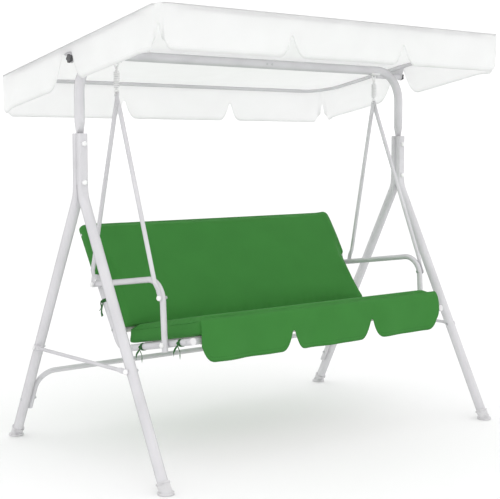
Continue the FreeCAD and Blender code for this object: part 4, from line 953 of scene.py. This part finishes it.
def ribbon_strip(path, width_direction, width):
    """Points and faces of a ribbon along a path."""
    points = []
    for place, scale in path:
        points.append(place - width_direction * (width * scale / 2))
        points.append(place)
        points.append(place + width_direction * (width * scale / 2))
    faces = []
    for row in range(len(path) - 1):
        for column in range(2):
            a = row * 3 + column
            faces.append((a, a + 1, a + 4, a + 3))
    return points, faces


def make_tie(name, place, along, outward):
    """Band round the tube, knot on its outer side and two tails."""
    side = Vector((outward, 0, 0))
    over = along.cross(side).normalized()
    ring_r = TUBE_R + 0.0012
    band = []
    for step in range(25):
        angle = 2 * math.pi * step / 24
        band.append((place + side * (ring_r * math.cos(angle)) + over * (ring_r * math.sin(angle)), 0.95))
    knot = place + side * (ring_r + 0.004)
    down = Vector((0, 0, -1))
    tails = []
    for lean, length in ((0.35, 0.050), (-0.5, 0.038)):
        path = []
        for step in range(9):
            t = step / 8
            sway = 0.004 * math.sin(t * 5 + lean * 4)
            point = knot + down * (length * t) + along * (length * t * lean) + side * (sway + 0.003 * t)
            path.append((point, 0.45 + 0.5 * t))
        tails.append(path)
    points = []
    faces = []
    for path, direction in [(band, along), (tails[0], over), (tails[1], over)]:
        strip_points, strip_faces = ribbon_strip(path, direction, TIE_WIDTH)
        start = len(points)
        points += strip_points
        faces += [tuple(index + start for index in face) for face in strip_faces]
    ribbon = piece_from(name, points, faces, tie_cloth)
    add_modifier(ribbon, "SOLIDIFY", thickness=1.1 * MM, offset=0.0)
    clear_selection()
    bpy.ops.mesh.primitive_uv_sphere_add(segments=14, ring_count=10, radius=0.0058, location=knot,
                                         scale=(0.8, 1.1, 0.9))
    ball = bpy.context.view_layer.objects.active
    bpy.ops.object.transform_apply(location=True, rotation=True, scale=True)
    for vertex in ball.data.vertices:
        twist = (vertex.co - knot)
        vertex.co = knot + twist * (1 + 0.14 * math.sin(twist.z * 900 + twist.y * 700))
    ball.data.materials.append(tie_cloth)
    ball.data.shade_smooth()
    make_active(ribbon)
    ball.select_set(True)
    bpy.ops.object.join()
    return ribbon


SIDE_TUBE_X = (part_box("side_frame_right")[0].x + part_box("side_frame_right")[1].x) / 2
seat_forward = (seat_place(0, 1, 0) - seat_place(0, 0, 0)).normalized()
back_upward = (back_place(0, 1, 0) - back_place(0, 0, 0)).normalized()
SEAT_TIES_S = (0.150, 0.384)
BACK_TIE_S = 0.196
tie_spots = [(seat_place(side * SIDE_TUBE_X, s, 0), seat_forward, side)
             for side in (-1, 1) for s in SEAT_TIES_S]
tie_spots += [(back_place(side * SIDE_TUBE_X, BACK_TIE_S, 0), back_upward, side) for side in (-1, 1)]
ties = [make_tie(f"tie_{number}", *spot) for number, spot in enumerate(tie_spots)]
make_active(ties[0])
for tie in ties[1:]:
    tie.select_set(True)
bpy.ops.object.join()
ties[0].name = "ribbon_ties"
settle(ties[0], "seat", "tie_cloth", "cover_ties")

# %% [markdown]
# ## Coil springs
# The bench hangs on two extension springs. The wire is wound close in the middle, narrows at both ends,
# and ends in a hook above and a ring below. A wire is a round bead on a path: the coils are a helix whose
# radius shrinks at the ends, worked out by a formula.

# %% Coil springs
SPRING_TURNS = 11
SPRING_WIRE_R = 2.0 * MM
EYE_Z = 1.412
APEX_Z = 1.318
RING_R = 0.009
HOOK_R = 0.0048


def make_spring(name, node):
    low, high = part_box(node)
    x = (low.x + high.x) / 2
    coil_r = (high.x - low.x) / 2 - SPRING_WIRE_R
    bottom = APEX_Z + 2 * RING_R
    top = EYE_Z - HOOK_R
    path = []
    steps = SPRING_TURNS * 20
    for step in range(steps + 1):
        t = step / steps
        angle = 2 * math.pi * SPRING_TURNS * t
        taper = smooth_step(min(t, 1 - t) / 0.16)
        r = 0.001 + (coil_r - 0.001) * taper
        path.append((x + r * math.cos(angle), r * math.sin(angle), bottom + (top - bottom) * t))
    coil = bead(name, path, SPRING_WIRE_R, white_coat)
    ring = [(x + RING_R * math.cos(a), 0, APEX_Z + RING_R + RING_R * math.sin(a))
            for a in (2 * math.pi * k / 28 for k in range(28))]
    hook = [(x, HOOK_R * math.sin(a), EYE_Z + HOOK_R * math.cos(a))
            for a in (math.radians(180 + 300 * k / 24) for k in range(25))]
    loops = [bead(name + "_ring", ring, SPRING_WIRE_R, white_coat, closed=True),
             bead(name + "_hook", hook, SPRING_WIRE_R, white_coat)]
    make_active(coil)
    for loop in loops:
        loop.select_set(True)
    bpy.ops.object.join()
    settle(coil, "springs", "white_steel", node)


for side_name in ("left", "right"):
    make_spring(f"coil_spring_{side_name}", f"suspension_spring_{side_name}")

# %% [markdown]
# ## Floor and light
# A pale floor and a bright, even sky give the soft, almost shadowless look of a studio. One large light
# above and in front models the tubes, and a dim one from the right keeps their far sides from going flat.

# %% Floor and light
clear_selection()
bpy.ops.mesh.primitive_plane_add(size=60.0, location=(0, 0, -0.001))
floor = bpy.context.view_layer.objects.active
floor.name = "floor"
floor_paint, tree, shader, place = start_material("studio_floor")
shader.inputs["Base Color"].default_value = (0.93, 0.93, 0.93, 1.0)
shader.inputs["Roughness"].default_value = 0.9
floor.data.materials.append(floor_paint)

world = bpy.data.worlds.new("studio")
bpy.context.scene.world = world
world.use_nodes = True
world.node_tree.nodes["Background"].inputs["Color"].default_value = (1.0, 1.0, 1.0, 1.0)
world.node_tree.nodes["Background"].inputs["Strength"].default_value = 1.13
bpy.context.scene.view_settings.view_transform = "Standard"


def studio_light(name, place, target, size, watts):
    data = bpy.data.lights.new(name, "AREA")
    data.shape = "RECTANGLE"
    data.size = size
    data.size_y = size
    data.energy = watts
    lamp = bpy.data.objects.new(name, data)
    lamp.location = place
    lamp.rotation_euler = (Vector(target) - Vector(place)).to_track_quat("-Z", "Y").to_euler()
    lamp.visible_camera = False
    bpy.context.scene.collection.objects.link(lamp)


studio_light("key", (-3.0, -5.0, 5.0), (0, 0, 0.8), 3.0, 22)
studio_light("fill", (5.0, -2.0, 2.5), (0, 0, 0.8), 3.0, 8)
print("lights set")
